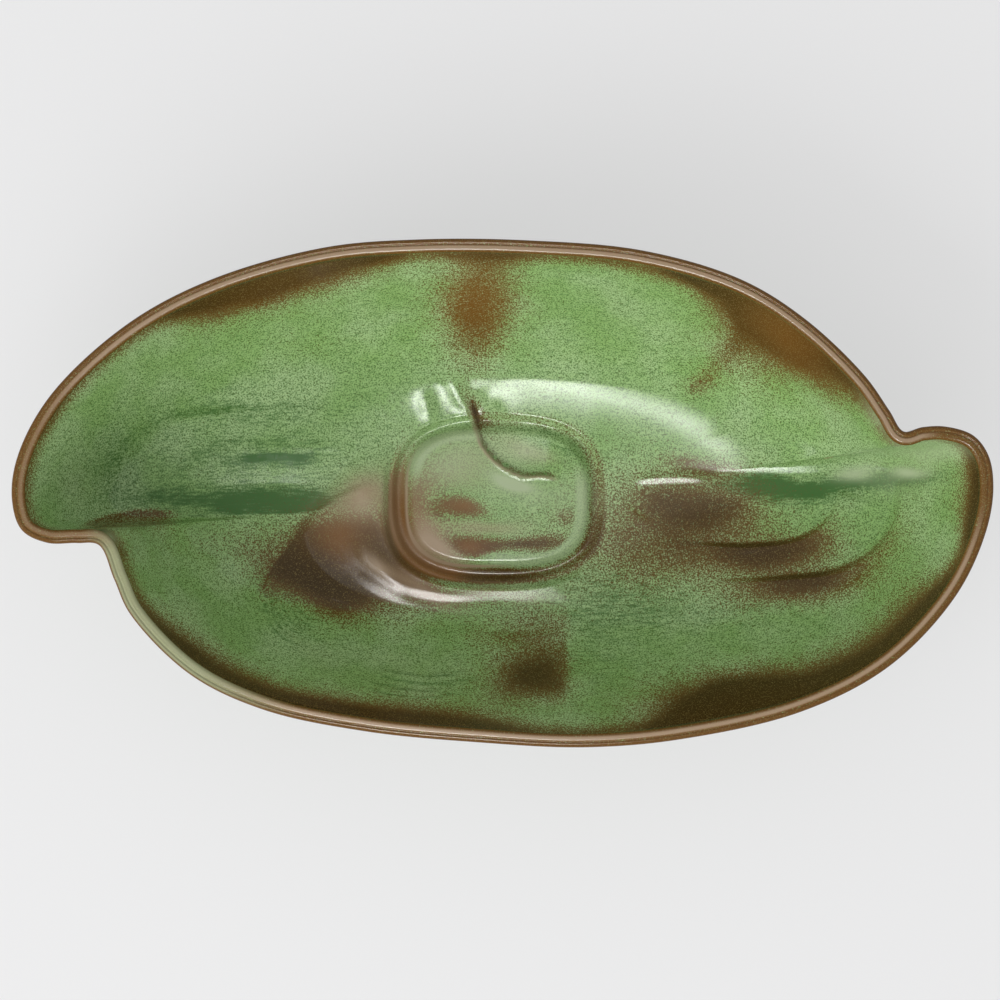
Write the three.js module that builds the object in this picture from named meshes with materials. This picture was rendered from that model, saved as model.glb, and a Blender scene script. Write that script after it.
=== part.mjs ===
// An oval serving bowl of two lobes that overlap in an S: cast clay with a glaze fused over it.
// Millimetres, +Z up, +X along the bowl. The origin is on the table, under the middle of the bowl.
import * as THREE from "three";

// Overall size
const LENGTH = 330;
const WIDTH = 171;
const HEIGHT = 68;

// Walls, rim and glaze
const WALL = 4.6;
const RIM_WIDTH = 4.6;
const RIM_ROUND = 1.3;
const RIM_SLOPE = 2.1; // rise over run of the wall just under the rim
const GLAZE = 0.5;

// Inner floor: a long shallow hollow round a spine that joins the two tips
const FLOOR_SPINE = 190;
const FLOOR_TURN = 12; // how far the spine's right end lies beyond its left end, across the bowl
const FLOOR_WIDTH = 86;
const FLOOR_END = 34;
const FLOOR_RISE = 8; // the most that the floor rises from the groove to its edge
const FLOOR_SLOPE = 0.16; // rise over run where the floor is narrow
const FLOOR_BEND = 0.5; // how far its edge is rounded, as a share of the floor and of the wall
const SPINE_BEND = 5; // how tightly its edge rounds the ends of the spine
const NOTCH_EASE = 0.0125; // share of the rim over which its edge rounds off the notches

// Raised pad in the middle of the floor, and the groove round it
const PAD_LENGTH = 63;
const PAD_WIDTH = 47.5;
const PAD_X = -1.7; // the pad's middle
const PAD_Y = -1.5;
const PAD_SQUARENESS = 2.9;
const PAD_RISE = 1.6;
const PAD_ROUND = 2.4;
const PAD_TOP_X = 12; // the highest place of the pad
const PAD_TOP_Y = 1;
const PAD_BOW_ALONG = 1430; // radius of its crown along the bowl
const PAD_BOW_ACROSS = 455; // radius of its crown across the bowl
const GROOVE_WIDTH = 5.4;
const GROOVE_DEPTH = 2.4;
const GROOVE_BOTTOM = 0.5; // share of its width from the pad to its lowest line

// Foot ring under the groove
const FOOT_HEIGHT = 5;
const FOOT_WIDTH = 5;
const FOOT_FILLET = 4;
const FOOT_DRAFT = 0.8;
const FOOT_DRY = 1.5; // bare clay above the table
const RECESS_BARE = 1; // bare clay round the glaze inside the foot ring

// Sculpted lines inside the bowl: the right lobe's terraces are sharp, the left lobe's soft
const SHARP_HEIGHT = 2;
const SHARP_EDGE = 1.1;
const SOFT_HEIGHT = 1.2;
const SOFT_EDGE = 2.8;
const TERRACE_FADE = 9;
const MOUND_HEIGHT = 1.1;
const MOUND_FADE = 25;
const SWELL_HEIGHT = 0.9;
const SWELL_REACH = 8;
const WAVE_HEIGHT = 0.7;
const VALLEY_DEPTH = 0.8;
const VALLEY_FLOOR = 0.55;
const VALLEY_REACH = 4.5;
const CREASE_DEPTH = 2.2;
const CREASE_EDGE = 0.9;
const CREASE_REACH = 8;

// Collar: the swelling round the groove on its left and lower side
const COLLAR_HEIGHT = 3.2;
const COLLAR_CREST = 3; // from the groove to its highest line
const COLLAR_FALL = 1.4; // how it falls away beyond that line: 1 is straight
const COLLAR_TOP_REACH = 14;
const COLLAR_LEFT_REACH = 30;
const COLLAR_LOW_REACH = 13;
const COLLAR_SIDE = THREE.MathUtils.degToRad(242);

// Facets: an edge that bows further than this from the surface is halved
const INSIDE_SAG = 0.68;
const OUTSIDE_SAG = 1.1;
const SHORTEST_EDGE = 1.8;
const LONGEST_EDGE = 45;

// Rim outline, in half lengths and half widths: each lobe runs from its notch to the end of its tip
const FAR_LOBE = [
  [0.817, 0.244], [0.788, 0.326], [0.738, 0.463], [0.616, 0.687], [0.485, 0.843], [0.286, 0.956],
  [0.054, 0.996], [-0.168, 1.0], [-0.364, 0.968], [-0.598, 0.839], [-0.769, 0.661], [-0.924, 0.38],
  [-0.99, 0.138], [-1.0, -0.028], [-0.98, -0.145], [-0.928, -0.195], [-0.867, -0.196],
];
const NEAR_LOBE = [
  [-0.823, -0.204], [-0.792, -0.338], [-0.759, -0.476], [-0.638, -0.712], [-0.489, -0.851],
  [-0.28, -0.937], [-0.053, -0.98], [0.168, -1.0], [0.364, -0.968], [0.611, -0.858],
  [0.789, -0.679], [0.923, -0.405], [0.984, -0.157], [1.0, 0.02], [0.99, 0.149],
  [0.959, 0.228], [0.903, 0.263], [0.855, 0.261],
];

// Sculpted lines, in the same half lengths and half widths
const OUTER_TERRACE = [
  [0.821, 0.059], [0.819, -0.028], [0.807, -0.126], [0.768, -0.224], [0.699, -0.303], [0.579, -0.338],
  [0.473, -0.35], [0.341, -0.346],
];
const INNER_TERRACE = [
  [0.707, 0.024], [0.695, -0.047], [0.666, -0.122], [0.617, -0.181], [0.524, -0.208], [0.426, -0.204],
  [0.31, -0.185],
];
const FAR_VALLEY = [[-0.88, -0.004], [-0.758, 0.012], [-0.615, 0.031], [-0.489, 0.039], [-0.341, 0.028]];
const NEAR_VALLEY = [
  [0.89, 0.122], [0.748, 0.09], [0.605, 0.079], [0.524, 0.079], [0.402, 0.09], [0.288, 0.09],
];
const PAD_CREASE = [
  [-0.082, 0.405], [-0.056, 0.299], [-0.05, 0.234], [-0.032, 0.169], [-0.001, 0.114], [0.044, 0.075],
  [0.086, 0.075], [0.121, 0.059],
];
const MOUND = [
  [-0.41, -0.059], [-0.424, -0.138], [-0.443, -0.216], [-0.477, -0.303], [-0.497, -0.389], [-0.489, -0.479],
];
const SWELL = [[-0.217, 0.075], [-0.282, 0.035], [-0.343, -0.02], [-0.392, -0.106], [-0.428, -0.232]];
const WAVE = [
  [0.076, -0.782], [-0.086, -0.802], [-0.239, -0.774], [-0.371, -0.676], [-0.459, -0.519],
  [-0.481, -0.361], [-0.447, -0.204], [-0.375, -0.075],
];

// Shares of a line's length: where it has come up from its start, and where it begins to die away
const SHARP_ENDS = [0.1, 0.7];
const SOFT_ENDS = [0.7, 0.85];
const MOUND_ENDS = [0.2, 0.8];
const SWELL_ENDS = [0.3, 0.7];
const VALLEY_ENDS = [0.15, 0.75];
const CREASE_ENDS = [0.12, 0.85];

const clamp = THREE.MathUtils.clamp;
const smooth = (from, to, x) => THREE.MathUtils.smoothstep(x, from, to);
const flat = (x, y) => new THREE.Vector2(x, y);
const raised = ({ x, y }, level) => new THREE.Vector3(x, y, level);
const roundTurn = (u) => THREE.MathUtils.euclideanModulo(u, 1);

// Half turn about the middle: the two lobes carry the same lines
const turned = (points) => points.map(([x, y]) => [-x, -y]);

// The rim curve, drawn through its points and then fitted to the overall size
const RIM_STEPS = 24;
const stations = [...FAR_LOBE, ...NEAR_LOBE];
const drawn = ([x, y]) => new THREE.Vector3((x * LENGTH) / 2, (y * WIDTH) / 2, 0);
const rimCurve = new THREE.CatmullRomCurve3(stations.map(drawn), true, "centripetal");
const rimBox = new THREE.Box3().setFromPoints(rimCurve.getPoints(stations.length * RIM_STEPS));
const rimMiddle = rimBox.getCenter(new THREE.Vector3());
const rimFit = new THREE.Vector3(LENGTH, WIDTH, 1).divide(rimBox.getSize(new THREE.Vector3()).setZ(1));
const fitted = (point) => point.sub(rimMiddle).multiply(rimFit);

function rimPoint(u) {
  const point = fitted(rimCurve.getPoint(roundTurn(u)));
  return flat(point.x, point.y);
}

// Oval of the pad, grown outwards: its radius in a direction
const padMiddle = flat(PAD_X, PAD_Y);
function padRadius(angle, grow) {
  const along = Math.abs(Math.cos(angle)) / (PAD_LENGTH / 2 + grow);
  const across = Math.abs(Math.sin(angle)) / (PAD_WIDTH / 2 + grow);
  return (along ** PAD_SQUARENESS + across ** PAD_SQUARENESS) ** (-1 / PAD_SQUARENESS);
}

const outFromPad = (angle, radius) => flat(radius, 0).rotateAround(flat(0, 0), angle).add(padMiddle);
const padPoint = (angle, grow) => outFromPad(angle, padRadius(angle, grow));

// The edge of the floor that a rim point looks down to: it rounds the ends of the spine smoothly
const spineEnd = flat(FLOOR_SPINE / 2, FLOOR_TURN / 2);
function floorEdge(rim) {
  const along = rim.dot(spineEnd) / spineEnd.lengthSq();
  const share = along / (1 + Math.abs(along) ** SPINE_BEND) ** (1 / SPINE_BEND);
  const foot = spineEnd.clone().multiplyScalar(share);
  const outward = rim.clone().sub(foot).normalize();
  const radius = FLOOR_END / 2 + ((FLOOR_WIDTH - FLOOR_END) / 2) * (1 - share * share);
  return foot.addScaledVector(outward, radius);
}

// The same edge, evened out along the rim: a bell of weights over neighbouring places
const EASE_PLACES = [-2.5, -2, -1.5, -1, -0.5, 0, 0.5, 1, 1.5, 2, 2.5];
const easeWeights = EASE_PLACES.map((place) => Math.exp((-place * place) / 2));
const easeTotal = easeWeights.reduce((sum, weight) => sum + weight);
function floorLine(u) {
  const edge = flat(0, 0);
  EASE_PLACES.forEach((place, i) => {
    edge.addScaledVector(floorEdge(rimPoint(u + place * NOTCH_EASE)), easeWeights[i] / easeTotal);
  });
  return edge;
}

// Levels, and the limits of the wall's bow
const FLOOR_LEVEL = FOOT_HEIGHT + WALL;
const RIM_EDGE_LEVEL = HEIGHT - RIM_ROUND;
const FOOT_GROW = (GROOVE_WIDTH + FOOT_WIDTH) / 2;
const EDGE_STEEPNESS = 1.5; // slope of the floor at its edge, in its mean slopes
const LEAST_START = 0.2;
const [GENTLEST_BOW, DEEPEST_BOW] = [1.15, 4];

// Plan and levels of one section line, for a place u round the rim: the inside runs from the groove over
// the floor's edge to the rim, and the outside from the foot, a wall's thickness away
const STEP = 2e-4;
const sections = new Map();
function section(u) {
  if (sections.has(u)) return sections.get(u);
  const outerRim = rimPoint(u);
  const along = rimPoint(u + STEP).sub(rimPoint(u - STEP)).normalize();
  const inward = flat(-along.y, along.x);
  const innerRim = outerRim.clone().addScaledVector(inward, RIM_WIDTH);

  const floor = floorLine(u);
  const floorAlong = floorLine(u + STEP).sub(floorLine(u - STEP)).normalize();
  const floorOut = flat(floorAlong.y, -floorAlong.x);
  const angle = floor.clone().sub(padMiddle).angle();
  const groove = padPoint(angle, GROOVE_WIDTH);
  const run = floor.clone().sub(groove);
  const rise = FLOOR_RISE * (1 - Math.exp((-run.length() * FLOOR_SLOPE) / FLOOR_RISE));
  const edgeSlope = (EDGE_STEEPNESS * rise) / Math.max(run.dot(floorOut), LEAST_START * run.length());
  const slope = edgeSlope * clamp(innerRim.clone().sub(floor).normalize().dot(floorOut), 0, 1);
  const levels = [FLOOR_LEVEL, FLOOR_LEVEL + rise, RIM_EDGE_LEVEL];

  const tilt = Math.atan(edgeSlope);
  const wallOut = outerRim.clone().sub(floor).normalize();
  const underEdge = floor.clone().addScaledVector(wallOut, WALL * Math.sin(tilt));
  const underLevels = [FOOT_HEIGHT, FLOOR_LEVEL + rise - WALL * Math.cos(tilt), RIM_EDGE_LEVEL];
  const footEdge = padPoint(angle, FOOT_GROW + FOOT_FILLET);
  const made = {
    angle,
    outerRim,
    inward,
    inner: { start: groove, edge: floor, end: innerRim, levels, slope },
    outer: { start: footEdge, edge: underEdge, end: outerRim, levels: underLevels, slope },
  };
  sections.set(u, made);
  return made;
}

// 0 far below 0 and t far above it, with a rounded bend between them
const ease = (t) => (Math.abs(t) < FLOOR_BEND ? (t + FLOOR_BEND) ** 2 / (4 * FLOOR_BEND) : Math.max(t, 0));

// Height up a wall that leaves the floor at one slope and reaches the rim at another
function wallHeight(share, run, rise, startSlope) {
  const left = rise - startSlope * run;
  const bow = clamp(((RIM_SLOPE - startSlope) * run) / left, GENTLEST_BOW, DEEPEST_BOW);
  return startSlope * run * share + left * share ** bow;
}

// A sheet that runs from its start, at t = -1, to its edge, at 0, and rounds it up a wall to its end, at 1
function climb(t, { start, edge, end, levels: [low, bend, high], slope }) {
  const [before, after] = [ease(-t), ease(t)];
  const place = edge.clone();
  place.addScaledVector(start.clone().sub(edge), before);
  place.addScaledVector(end.clone().sub(edge), after);
  const share = 1 - before;
  const floorPart = ((bend - low) * (share + share * share)) / 2;
  const wallPart = wallHeight(after, end.distanceTo(edge), high - bend, slope);
  return { place, level: low + floorPart + wallPart };
}

// Nearest place on a sculpted line: signed distance, positive to its left, and share of its length
const LINE_STEPS = 6;
function sculptedLine(points) {
  const curve = new THREE.CatmullRomCurve3(points.map(drawn).map(fitted), false, "centripetal");
  const nodes = curve.getSpacedPoints(points.length * LINE_STEPS);
  const steps = nodes.slice(1).map((node, i) => node.clone().sub(nodes[i]));
  return ({ x, y }) => {
    let [nearest, side, share] = [Infinity, 1, 0];
    steps.forEach((step, i) => {
      const [offX, offY] = [x - nodes[i].x, y - nodes[i].y];
      const part = clamp((offX * step.x + offY * step.y) / step.lengthSq(), 0, 1);
      const far = Math.hypot(offX - part * step.x, offY - part * step.y);
      if (far >= nearest) return;
      [nearest, share] = [far, (i + part) / steps.length];
      side = Math.sign(step.x * offY - step.y * offX) || 1;
    });
    return { distance: nearest * side, share };
  };
}

const fadeEnds = (share, [risen, fading]) => smooth(0, risen, share) * (1 - smooth(fading, 1, share));

// A lip that steps up to the left of the line and dies away further off
function lip(points, height, edge, fade, ends) {
  const nearest = sculptedLine(points);
  return (place) => {
    const { distance, share } = nearest(place);
    const step = smooth(-edge, edge, distance) * Math.exp(-Math.max(0, distance) / fade);
    return height * step * fadeEnds(share, ends);
  };
}

// A valley on both sides of the line
function valley(points) {
  const nearest = sculptedLine(points);
  return (place) => {
    const { distance, share } = nearest(place);
    const near = Math.exp(-Math.hypot(distance, VALLEY_FLOOR) / VALLEY_REACH);
    return -VALLEY_DEPTH * near * fadeEnds(share, VALLEY_ENDS);
  };
}

// A fold: the ground drops sharply to the left of the line and rises again further off
function fold(points) {
  const nearest = sculptedLine(points);
  return (place) => {
    const { distance, share } = nearest(place);
    const step = smooth(-CREASE_EDGE, CREASE_EDGE, distance) * Math.exp(-((distance / CREASE_REACH) ** 2));
    return -CREASE_DEPTH * step * fadeEnds(share, CREASE_ENDS);
  };
}

// A soft swelling along the line
function swelling(points) {
  const nearest = sculptedLine(points);
  return (place) => {
    const { distance, share } = nearest(place);
    return SWELL_HEIGHT * Math.exp(-((distance / SWELL_REACH) ** 2)) * fadeEnds(share, SWELL_ENDS);
  };
}

// The collar stands on one side of the pad only, and reaches furthest beside it
const COLLAR_TURN = [0, 0.5]; // cosines of the directions between which it comes up
const COLLAR_WIDEN = [-0.3, 0.2]; // sines of the directions between which its reach grows
const COLLAR_NARROW = [0.2, 0.9]; // and between which it shortens again
function collar(place) {
  const offset = place.clone().sub(padMiddle);
  const angle = offset.angle();
  const distance = offset.length() - padRadius(angle, GROOVE_WIDTH);
  const below = -Math.sin(angle);
  const beside = THREE.MathUtils.lerp(COLLAR_TOP_REACH, COLLAR_LEFT_REACH, smooth(...COLLAR_WIDEN, below));
  const reach = THREE.MathUtils.lerp(beside, COLLAR_LOW_REACH, smooth(...COLLAR_NARROW, below));
  const fall = 1 - clamp(distance / reach, 0, 1) ** COLLAR_FALL;
  const turn = smooth(...COLLAR_TURN, Math.cos(angle - COLLAR_SIDE));
  return COLLAR_HEIGHT * smooth(0, COLLAR_CREST, distance) * fall * turn;
}

const onFloor = [
  ...[OUTER_TERRACE, INNER_TERRACE].flatMap((line) => [
    lip(line, SHARP_HEIGHT, SHARP_EDGE, TERRACE_FADE, SHARP_ENDS),
    lip(turned(line), SOFT_HEIGHT, SOFT_EDGE, TERRACE_FADE, SOFT_ENDS),
  ]),
  lip(MOUND, MOUND_HEIGHT, SHARP_EDGE, MOUND_FADE, MOUND_ENDS),
  valley(FAR_VALLEY),
  valley(NEAR_VALLEY),
  swelling(SWELL),
];
const wave = lip(WAVE, WAVE_HEIGHT, SOFT_EDGE, TERRACE_FADE, SHARP_ENDS);
const everywhere = [fold(PAD_CREASE), wave, collar];
const total = (features, place) => features.reduce((sum, feature) => sum + feature(place), 0);

// Height of the pad and its groove over the floor
function padHeight(place, past) {
  const bottom = GROOVE_WIDTH * GROOVE_BOTTOM;
  const [along, across] = [place.x - PAD_TOP_X, place.y - PAD_TOP_Y];
  const crown = PAD_RISE - along ** 2 / (2 * PAD_BOW_ALONG) - across ** 2 / (2 * PAD_BOW_ACROSS);
  if (past > bottom) {
    const share = clamp((past - bottom) / (GROOVE_WIDTH - bottom), 0, 1);
    return (-GROOVE_DEPTH * (1 + Math.cos(Math.PI * share))) / 2;
  }
  const share = clamp((past + PAD_ROUND) / (bottom + PAD_ROUND), 0, 1);
  return crown - ((crown + GROOVE_DEPTH) * (1 - Math.cos(Math.PI * share))) / 2;
}

function onPad({ angle }, v) {
  const radius = v * padRadius(angle, GROOVE_WIDTH);
  const place = outFromPad(angle, radius);
  return { place, level: FLOOR_LEVEL + padHeight(place, radius - padRadius(angle, 0)) };
}

// The glazed surface: v runs along a section from the pad's middle, over floor, wall and rim, and down
// the outside to the foot. Whole numbers are the joins between these stretches.
const V = { pad: 1, floor: 2, wall: 3, rim: 4, outside: 5, under: 6, foot: 7 };
const PAD_CLEAR = [V.pad - 0.1, V.pad + 0.25]; // where the lines on the floor come up
const RIM_CLEAR = [V.wall - 0.4, V.wall]; // where all lines have died away

function inside(line, v) {
  const { place, level } = v <= V.pad ? onPad(line, v) : climb(v - V.floor, line.inner);
  const relief = total(everywhere, place) + smooth(...PAD_CLEAR, v) * total(onFloor, place);
  return raised(place, level + (1 - smooth(...RIM_CLEAR, v)) * relief);
}

// Over the rim: a quarter round, the flat top and another quarter round
function overRim({ outerRim, inward }, v) {
  const share = (v - V.wall) * 3;
  const up = (clamp(share, 0, 1) * Math.PI) / 2;
  const down = (clamp(share - 2, 0, 1) * Math.PI) / 2;
  const top = (RIM_WIDTH - 2 * RIM_ROUND) * (1 - clamp(share - 1, 0, 1));
  const inset = top + RIM_ROUND * (1 + Math.cos(up) - Math.sin(down));
  const level = HEIGHT - RIM_ROUND * (2 - Math.sin(up) - Math.cos(down));
  return raised(outerRim.clone().addScaledVector(inward, inset), level);
}

function outside(line, v) {
  const { place, level } = climb(V.outside - v, line.outer);
  return raised(place, level);
}

function downFoot({ angle }, v) {
  const turn = ((v - V.under) * Math.PI) / 2;
  const drop = (FOOT_HEIGHT - FOOT_DRY) * (1 - Math.cos(turn));
  return raised(padPoint(angle, FOOT_GROW + FOOT_FILLET * (1 - Math.sin(turn))), FOOT_HEIGHT - drop);
}

function glazedSurface(u, v) {
  const line = section(roundTurn(u));
  if (v <= V.wall) return inside(line, v);
  if (v <= V.rim) return overRim(line, v);
  if (v <= V.under) return outside(line, v);
  return downFoot(line, v);
}

// Facets on a surface that starts at one point and runs out in rings: columns round it, rows along it
const SAG_PLACES = [0.2, 0.35, 0.5, 0.65, 0.8]; // shares of an edge where it is held against the surface
function facet(surface, columns, rows) {
  const vertices = [];
  const add = (u, v) => vertices.push({ u, v, at: surface(u, v) }) - 1;
  const top = add(0, rows[0]);
  const rings = rows.slice(1).map((v) => columns.map((u) => add(u, v)));
  let triangles = columns.map((_, i) => [top, rings[0][i], rings[0][(i + 1) % columns.length]]);
  rings.slice(1).forEach((ring, row) => {
    const before = rings[row];
    ring.forEach((_, i) => {
      const next = (i + 1) % columns.length;
      triangles.push([before[i], ring[i], ring[next]], [before[i], ring[next], before[next]]);
    });
  });

  // A place between two vertices, measured the short way round
  function between(a, b, share) {
    const [from, to] = [vertices[a], vertices[b]];
    const v = from.v + (to.v - from.v) * share;
    if (a === top) return [to.u, v];
    if (b === top) return [from.u, v];
    const way = to.u - from.u - Math.round(to.u - from.u);
    return [roundTurn(from.u + way * share), v];
  }
  const key = (a, b) => (a < b ? `${a},${b}` : `${b},${a}`);
  const span = (a, b) => vertices[a].at.distanceTo(vertices[b].at);
  const judged = new Map();
  function bows(a, b) {
    const name = key(a, b);
    if (judged.has(name)) return judged.get(name);
    const length = span(a, b);
    const chord = new THREE.Line3(vertices[a].at, vertices[b].at);
    const sag = SAG_PLACES.map((share) => {
      const place = surface(...between(a, b, share));
      return place.distanceTo(chord.closestPointToPoint(place, true, new THREE.Vector3()));
    });
    const allowed = Math.min(vertices[a].v, vertices[b].v) < V.rim ? INSIDE_SAG : OUTSIDE_SAG;
    const bent = Math.max(...sag) > allowed && length > 2 * SHORTEST_EDGE;
    judged.set(name, bent || length > LONGEST_EDGE);
    return judged.get(name);
  }
  const edges = ([a, b, c]) => [[a, b], [b, c], [c, a]];
  const longest = (triangle) => edges(triangle).reduce((x, y) => (span(...y) > span(...x) ? y : x));

  // Halve the marked edges, each triangle's longest edge first, until none bows too far
  for (;;) {
    const halved = new Map();
    triangles.forEach((t) => edges(t).forEach(([a, b]) => bows(a, b) && halved.set(key(a, b), null)));
    if (!halved.size) break;
    for (let grown = true; grown; ) {
      grown = false;
      for (const triangle of triangles) {
        const name = key(...longest(triangle));
        if (halved.has(name) || !edges(triangle).some(([a, b]) => halved.has(key(a, b)))) continue;
        halved.set(name, null);
        grown = true;
      }
    }
    const split = [];
    const middle = (a, b) => {
      const name = key(a, b);
      if (halved.get(name) === null) halved.set(name, add(...between(a, b, 0.5)));
      return halved.get(name);
    };
    const place = ([a, b, c]) => {
      const marked = edges([a, b, c]).filter(([x, y]) => halved.has(key(x, y)));
      if (!marked.length) return split.push([a, b, c]);
      const [x, y] = marked.reduce((p, q) => (span(...q) > span(...p) ? q : p));
      const opposite = [a, b, c].find((corner) => corner !== x && corner !== y);
      const m = middle(x, y);
      place([x, m, opposite]);
      return place([m, y, opposite]);
    };
    triangles.forEach(place);
    triangles = split;
  }
  return { vertices, triangles };
}

function geometryOf(points, triangles) {
  const geometry = new THREE.BufferGeometry().setFromPoints(points);
  return geometry.setIndex(triangles.flat());
}

// Facets of the glaze's outer face, and the face under it that the clay shares
const FIRST_ROWS = [0, 0.45, 0.75, 0.88, 1, 1.5, 2, 2.5, 3, 3.333, 3.667, 4, 4.5, 5, 5.5, 6, 6.5, 7];
const firstColumns = stations.map((_, i) => i / stations.length);
const skin = facet(glazedSurface, firstColumns, FIRST_ROWS);
const outerFace = skin.vertices.map(({ at }) => at);
const shading = geometryOf(outerFace, skin.triangles);
shading.computeVertexNormals();
const innerFace = outerFace.map((at, i) => {
  const normal = new THREE.Vector3().fromBufferAttribute(shading.getAttribute("normal"), i);
  return at.clone().addScaledVector(normal, -GLAZE);
});

// The ring of vertices along the glaze's lower edge, in order round the foot
const edgeRing = skin.vertices
  .map(({ u, v }, i) => ({ u, v, i }))
  .filter(({ v }) => v === V.foot)
  .sort((a, b) => a.u - b.u)
  .map(({ i }) => i);
const nextOf = (ring, i) => ring[(i + 1) % ring.length];
const band = (upper, lower) =>
  upper.flatMap((from, i) => [
    [from, lower[i], nextOf(lower, i)],
    [from, nextOf(lower, i), nextOf(upper, i)],
  ]);

function glazeCoat() {
  const count = outerFace.length;
  const backs = skin.triangles.map(([a, b, c]) => [a + count, c + count, b + count]);
  const lowerEdge = band(edgeRing, edgeRing.map((i) => i + count));
  return geometryOf([...outerFace, ...innerFace], [...skin.triangles, ...backs, ...lowerEdge]);
}

// The clay under the glaze, closed by the bare foot ring and the recess inside it
function clayBody() {
  const points = [...innerFace];
  const triangles = [...skin.triangles];
  const angles = edgeRing.map((i) => section(skin.vertices[i].u).angle);
  const recessGrow = FOOT_GROW - GLAZE - FOOT_WIDTH;
  const rings = [
    [FOOT_GROW - GLAZE - FOOT_DRAFT / 2, 0],
    [recessGrow, 0],
    [recessGrow - FOOT_DRAFT, FOOT_HEIGHT],
  ].map(([grow, level]) => angles.map((angle) => points.push(raised(padPoint(angle, grow), level)) - 1));
  [edgeRing, ...rings].reduce((upper, lower) => {
    triangles.push(...band(upper, lower));
    return lower;
  });
  const middle = points.push(raised(padMiddle, FOOT_HEIGHT)) - 1;
  const ceiling = rings.at(-1);
  ceiling.forEach((from, i) => triangles.push([from, middle, nextOf(ceiling, i)]));
  return geometryOf(points, triangles);
}

// The patch of glaze on the ceiling of the recess
const PATCH_SIDES = 48;
function recessGlaze() {
  const grow = FOOT_GROW - GLAZE - FOOT_WIDTH - FOOT_DRAFT - RECESS_BARE;
  const angles = Array.from({ length: PATCH_SIDES }, (_, i) => (i * 2 * Math.PI) / PATCH_SIDES);
  const outline = new THREE.Shape(angles.map((angle) => padPoint(angle, grow)));
  const patch = new THREE.ExtrudeGeometry(outline, { depth: GLAZE, bevelEnabled: false });
  return patch.translate(0, 0, FOOT_HEIGHT - GLAZE);
}

// Finishes
const bareClay = new THREE.MeshStandardMaterial({ color: 0xb48a62, roughness: 0.85 });
const greenGlaze = new THREE.MeshStandardMaterial({ color: 0x6e965f, roughness: 0.3 });

function piece(name, geometry, material) {
  const mesh = new THREE.Mesh(geometry, material);
  mesh.name = name;
  return mesh;
}

const bowl = new THREE.Group();
bowl.add(
  piece("clay_body", clayBody(), bareClay),
  piece("glaze_coat", glazeCoat(), greenGlaze),
  piece("foot_recess_glaze", recessGlaze(), greenGlaze),
);

export default bowl;
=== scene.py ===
"""An oval serving bowl: two lobes that overlap in an S, in a mottled green and brown glaze.

The bowl's surface is drawn by section lines that run from the pad in its floor up the wall, over the rim
and down the outside to the foot. Lengths are in millimetres until a mesh is made, and places inside the
bowl are in half lengths and half widths from its middle.
"""
import math

import bpy
import numpy as np
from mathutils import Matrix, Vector


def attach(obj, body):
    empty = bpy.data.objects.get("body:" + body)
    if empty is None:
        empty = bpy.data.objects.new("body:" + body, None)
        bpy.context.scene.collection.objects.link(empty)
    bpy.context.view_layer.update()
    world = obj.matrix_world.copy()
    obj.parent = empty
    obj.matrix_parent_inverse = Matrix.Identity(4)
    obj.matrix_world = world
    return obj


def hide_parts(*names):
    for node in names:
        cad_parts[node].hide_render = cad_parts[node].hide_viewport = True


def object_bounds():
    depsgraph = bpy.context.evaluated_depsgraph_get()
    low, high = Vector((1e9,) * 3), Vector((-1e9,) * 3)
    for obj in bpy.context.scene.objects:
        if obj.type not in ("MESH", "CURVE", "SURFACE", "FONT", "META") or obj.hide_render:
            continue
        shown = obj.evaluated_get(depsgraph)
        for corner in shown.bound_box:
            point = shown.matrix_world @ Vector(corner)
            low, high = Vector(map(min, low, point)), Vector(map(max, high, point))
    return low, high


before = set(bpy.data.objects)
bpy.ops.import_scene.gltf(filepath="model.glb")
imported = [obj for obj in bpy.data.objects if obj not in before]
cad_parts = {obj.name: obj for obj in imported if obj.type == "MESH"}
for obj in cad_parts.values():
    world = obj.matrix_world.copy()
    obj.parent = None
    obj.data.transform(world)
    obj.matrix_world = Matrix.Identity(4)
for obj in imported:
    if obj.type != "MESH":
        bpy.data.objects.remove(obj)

MM = 0.001
CAD_BOX = [list(corner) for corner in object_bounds()]
LENGTH, WIDTH, HEIGHT = ((high - low) / MM for low, high in zip(*CAD_BOX))
HALF_SIZE = np.array((LENGTH, WIDTH)) / 2

# Walls, rim and glaze
WALL = 4.6
RIM_WIDTH = 4.6
RIM_ROUND = 1.3
RIM_SLOPE = 2.1  # of the wall where it meets the rim
RIM_LINE_DEPTH = 0.35
RIM_LINE_AT = 0.75  # place and half width of the fine line, as shares of the rim's flat top
RIM_LINE_WIDTH = 0.16
GLAZE = 0.5
CLAY_GAP = 1.3  # how far the hidden clay stays under the glazed surface

# Inner floor, round a spine that joins the two tips
FLOOR_SPINE = 190  # extent of the spine along the bowl, and across it
FLOOR_TURN = 12
FLOOR_WIDTH = 86
FLOOR_END = 34
FLOOR_RISE = 8  # the most that the floor rises from the groove to its edge
FLOOR_SLOPE = 0.16  # the least slope of its rise, where the floor is narrow
EDGE_STEEPNESS = 1.5  # slope of the floor at its edge, over its mean slope
LEAST_RUN = 0.2  # least run of the floor square to its edge, as a share of its length
END_BEND = 5  # how sharply the floor turns round the ends of the spine
FLOOR_BEND = 0.5  # how far the edge of the floor is rounded, as a share of the floor and of the wall
NOTCH_EASE = 7  # columns over which the edge of the floor rounds off the notches

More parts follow.
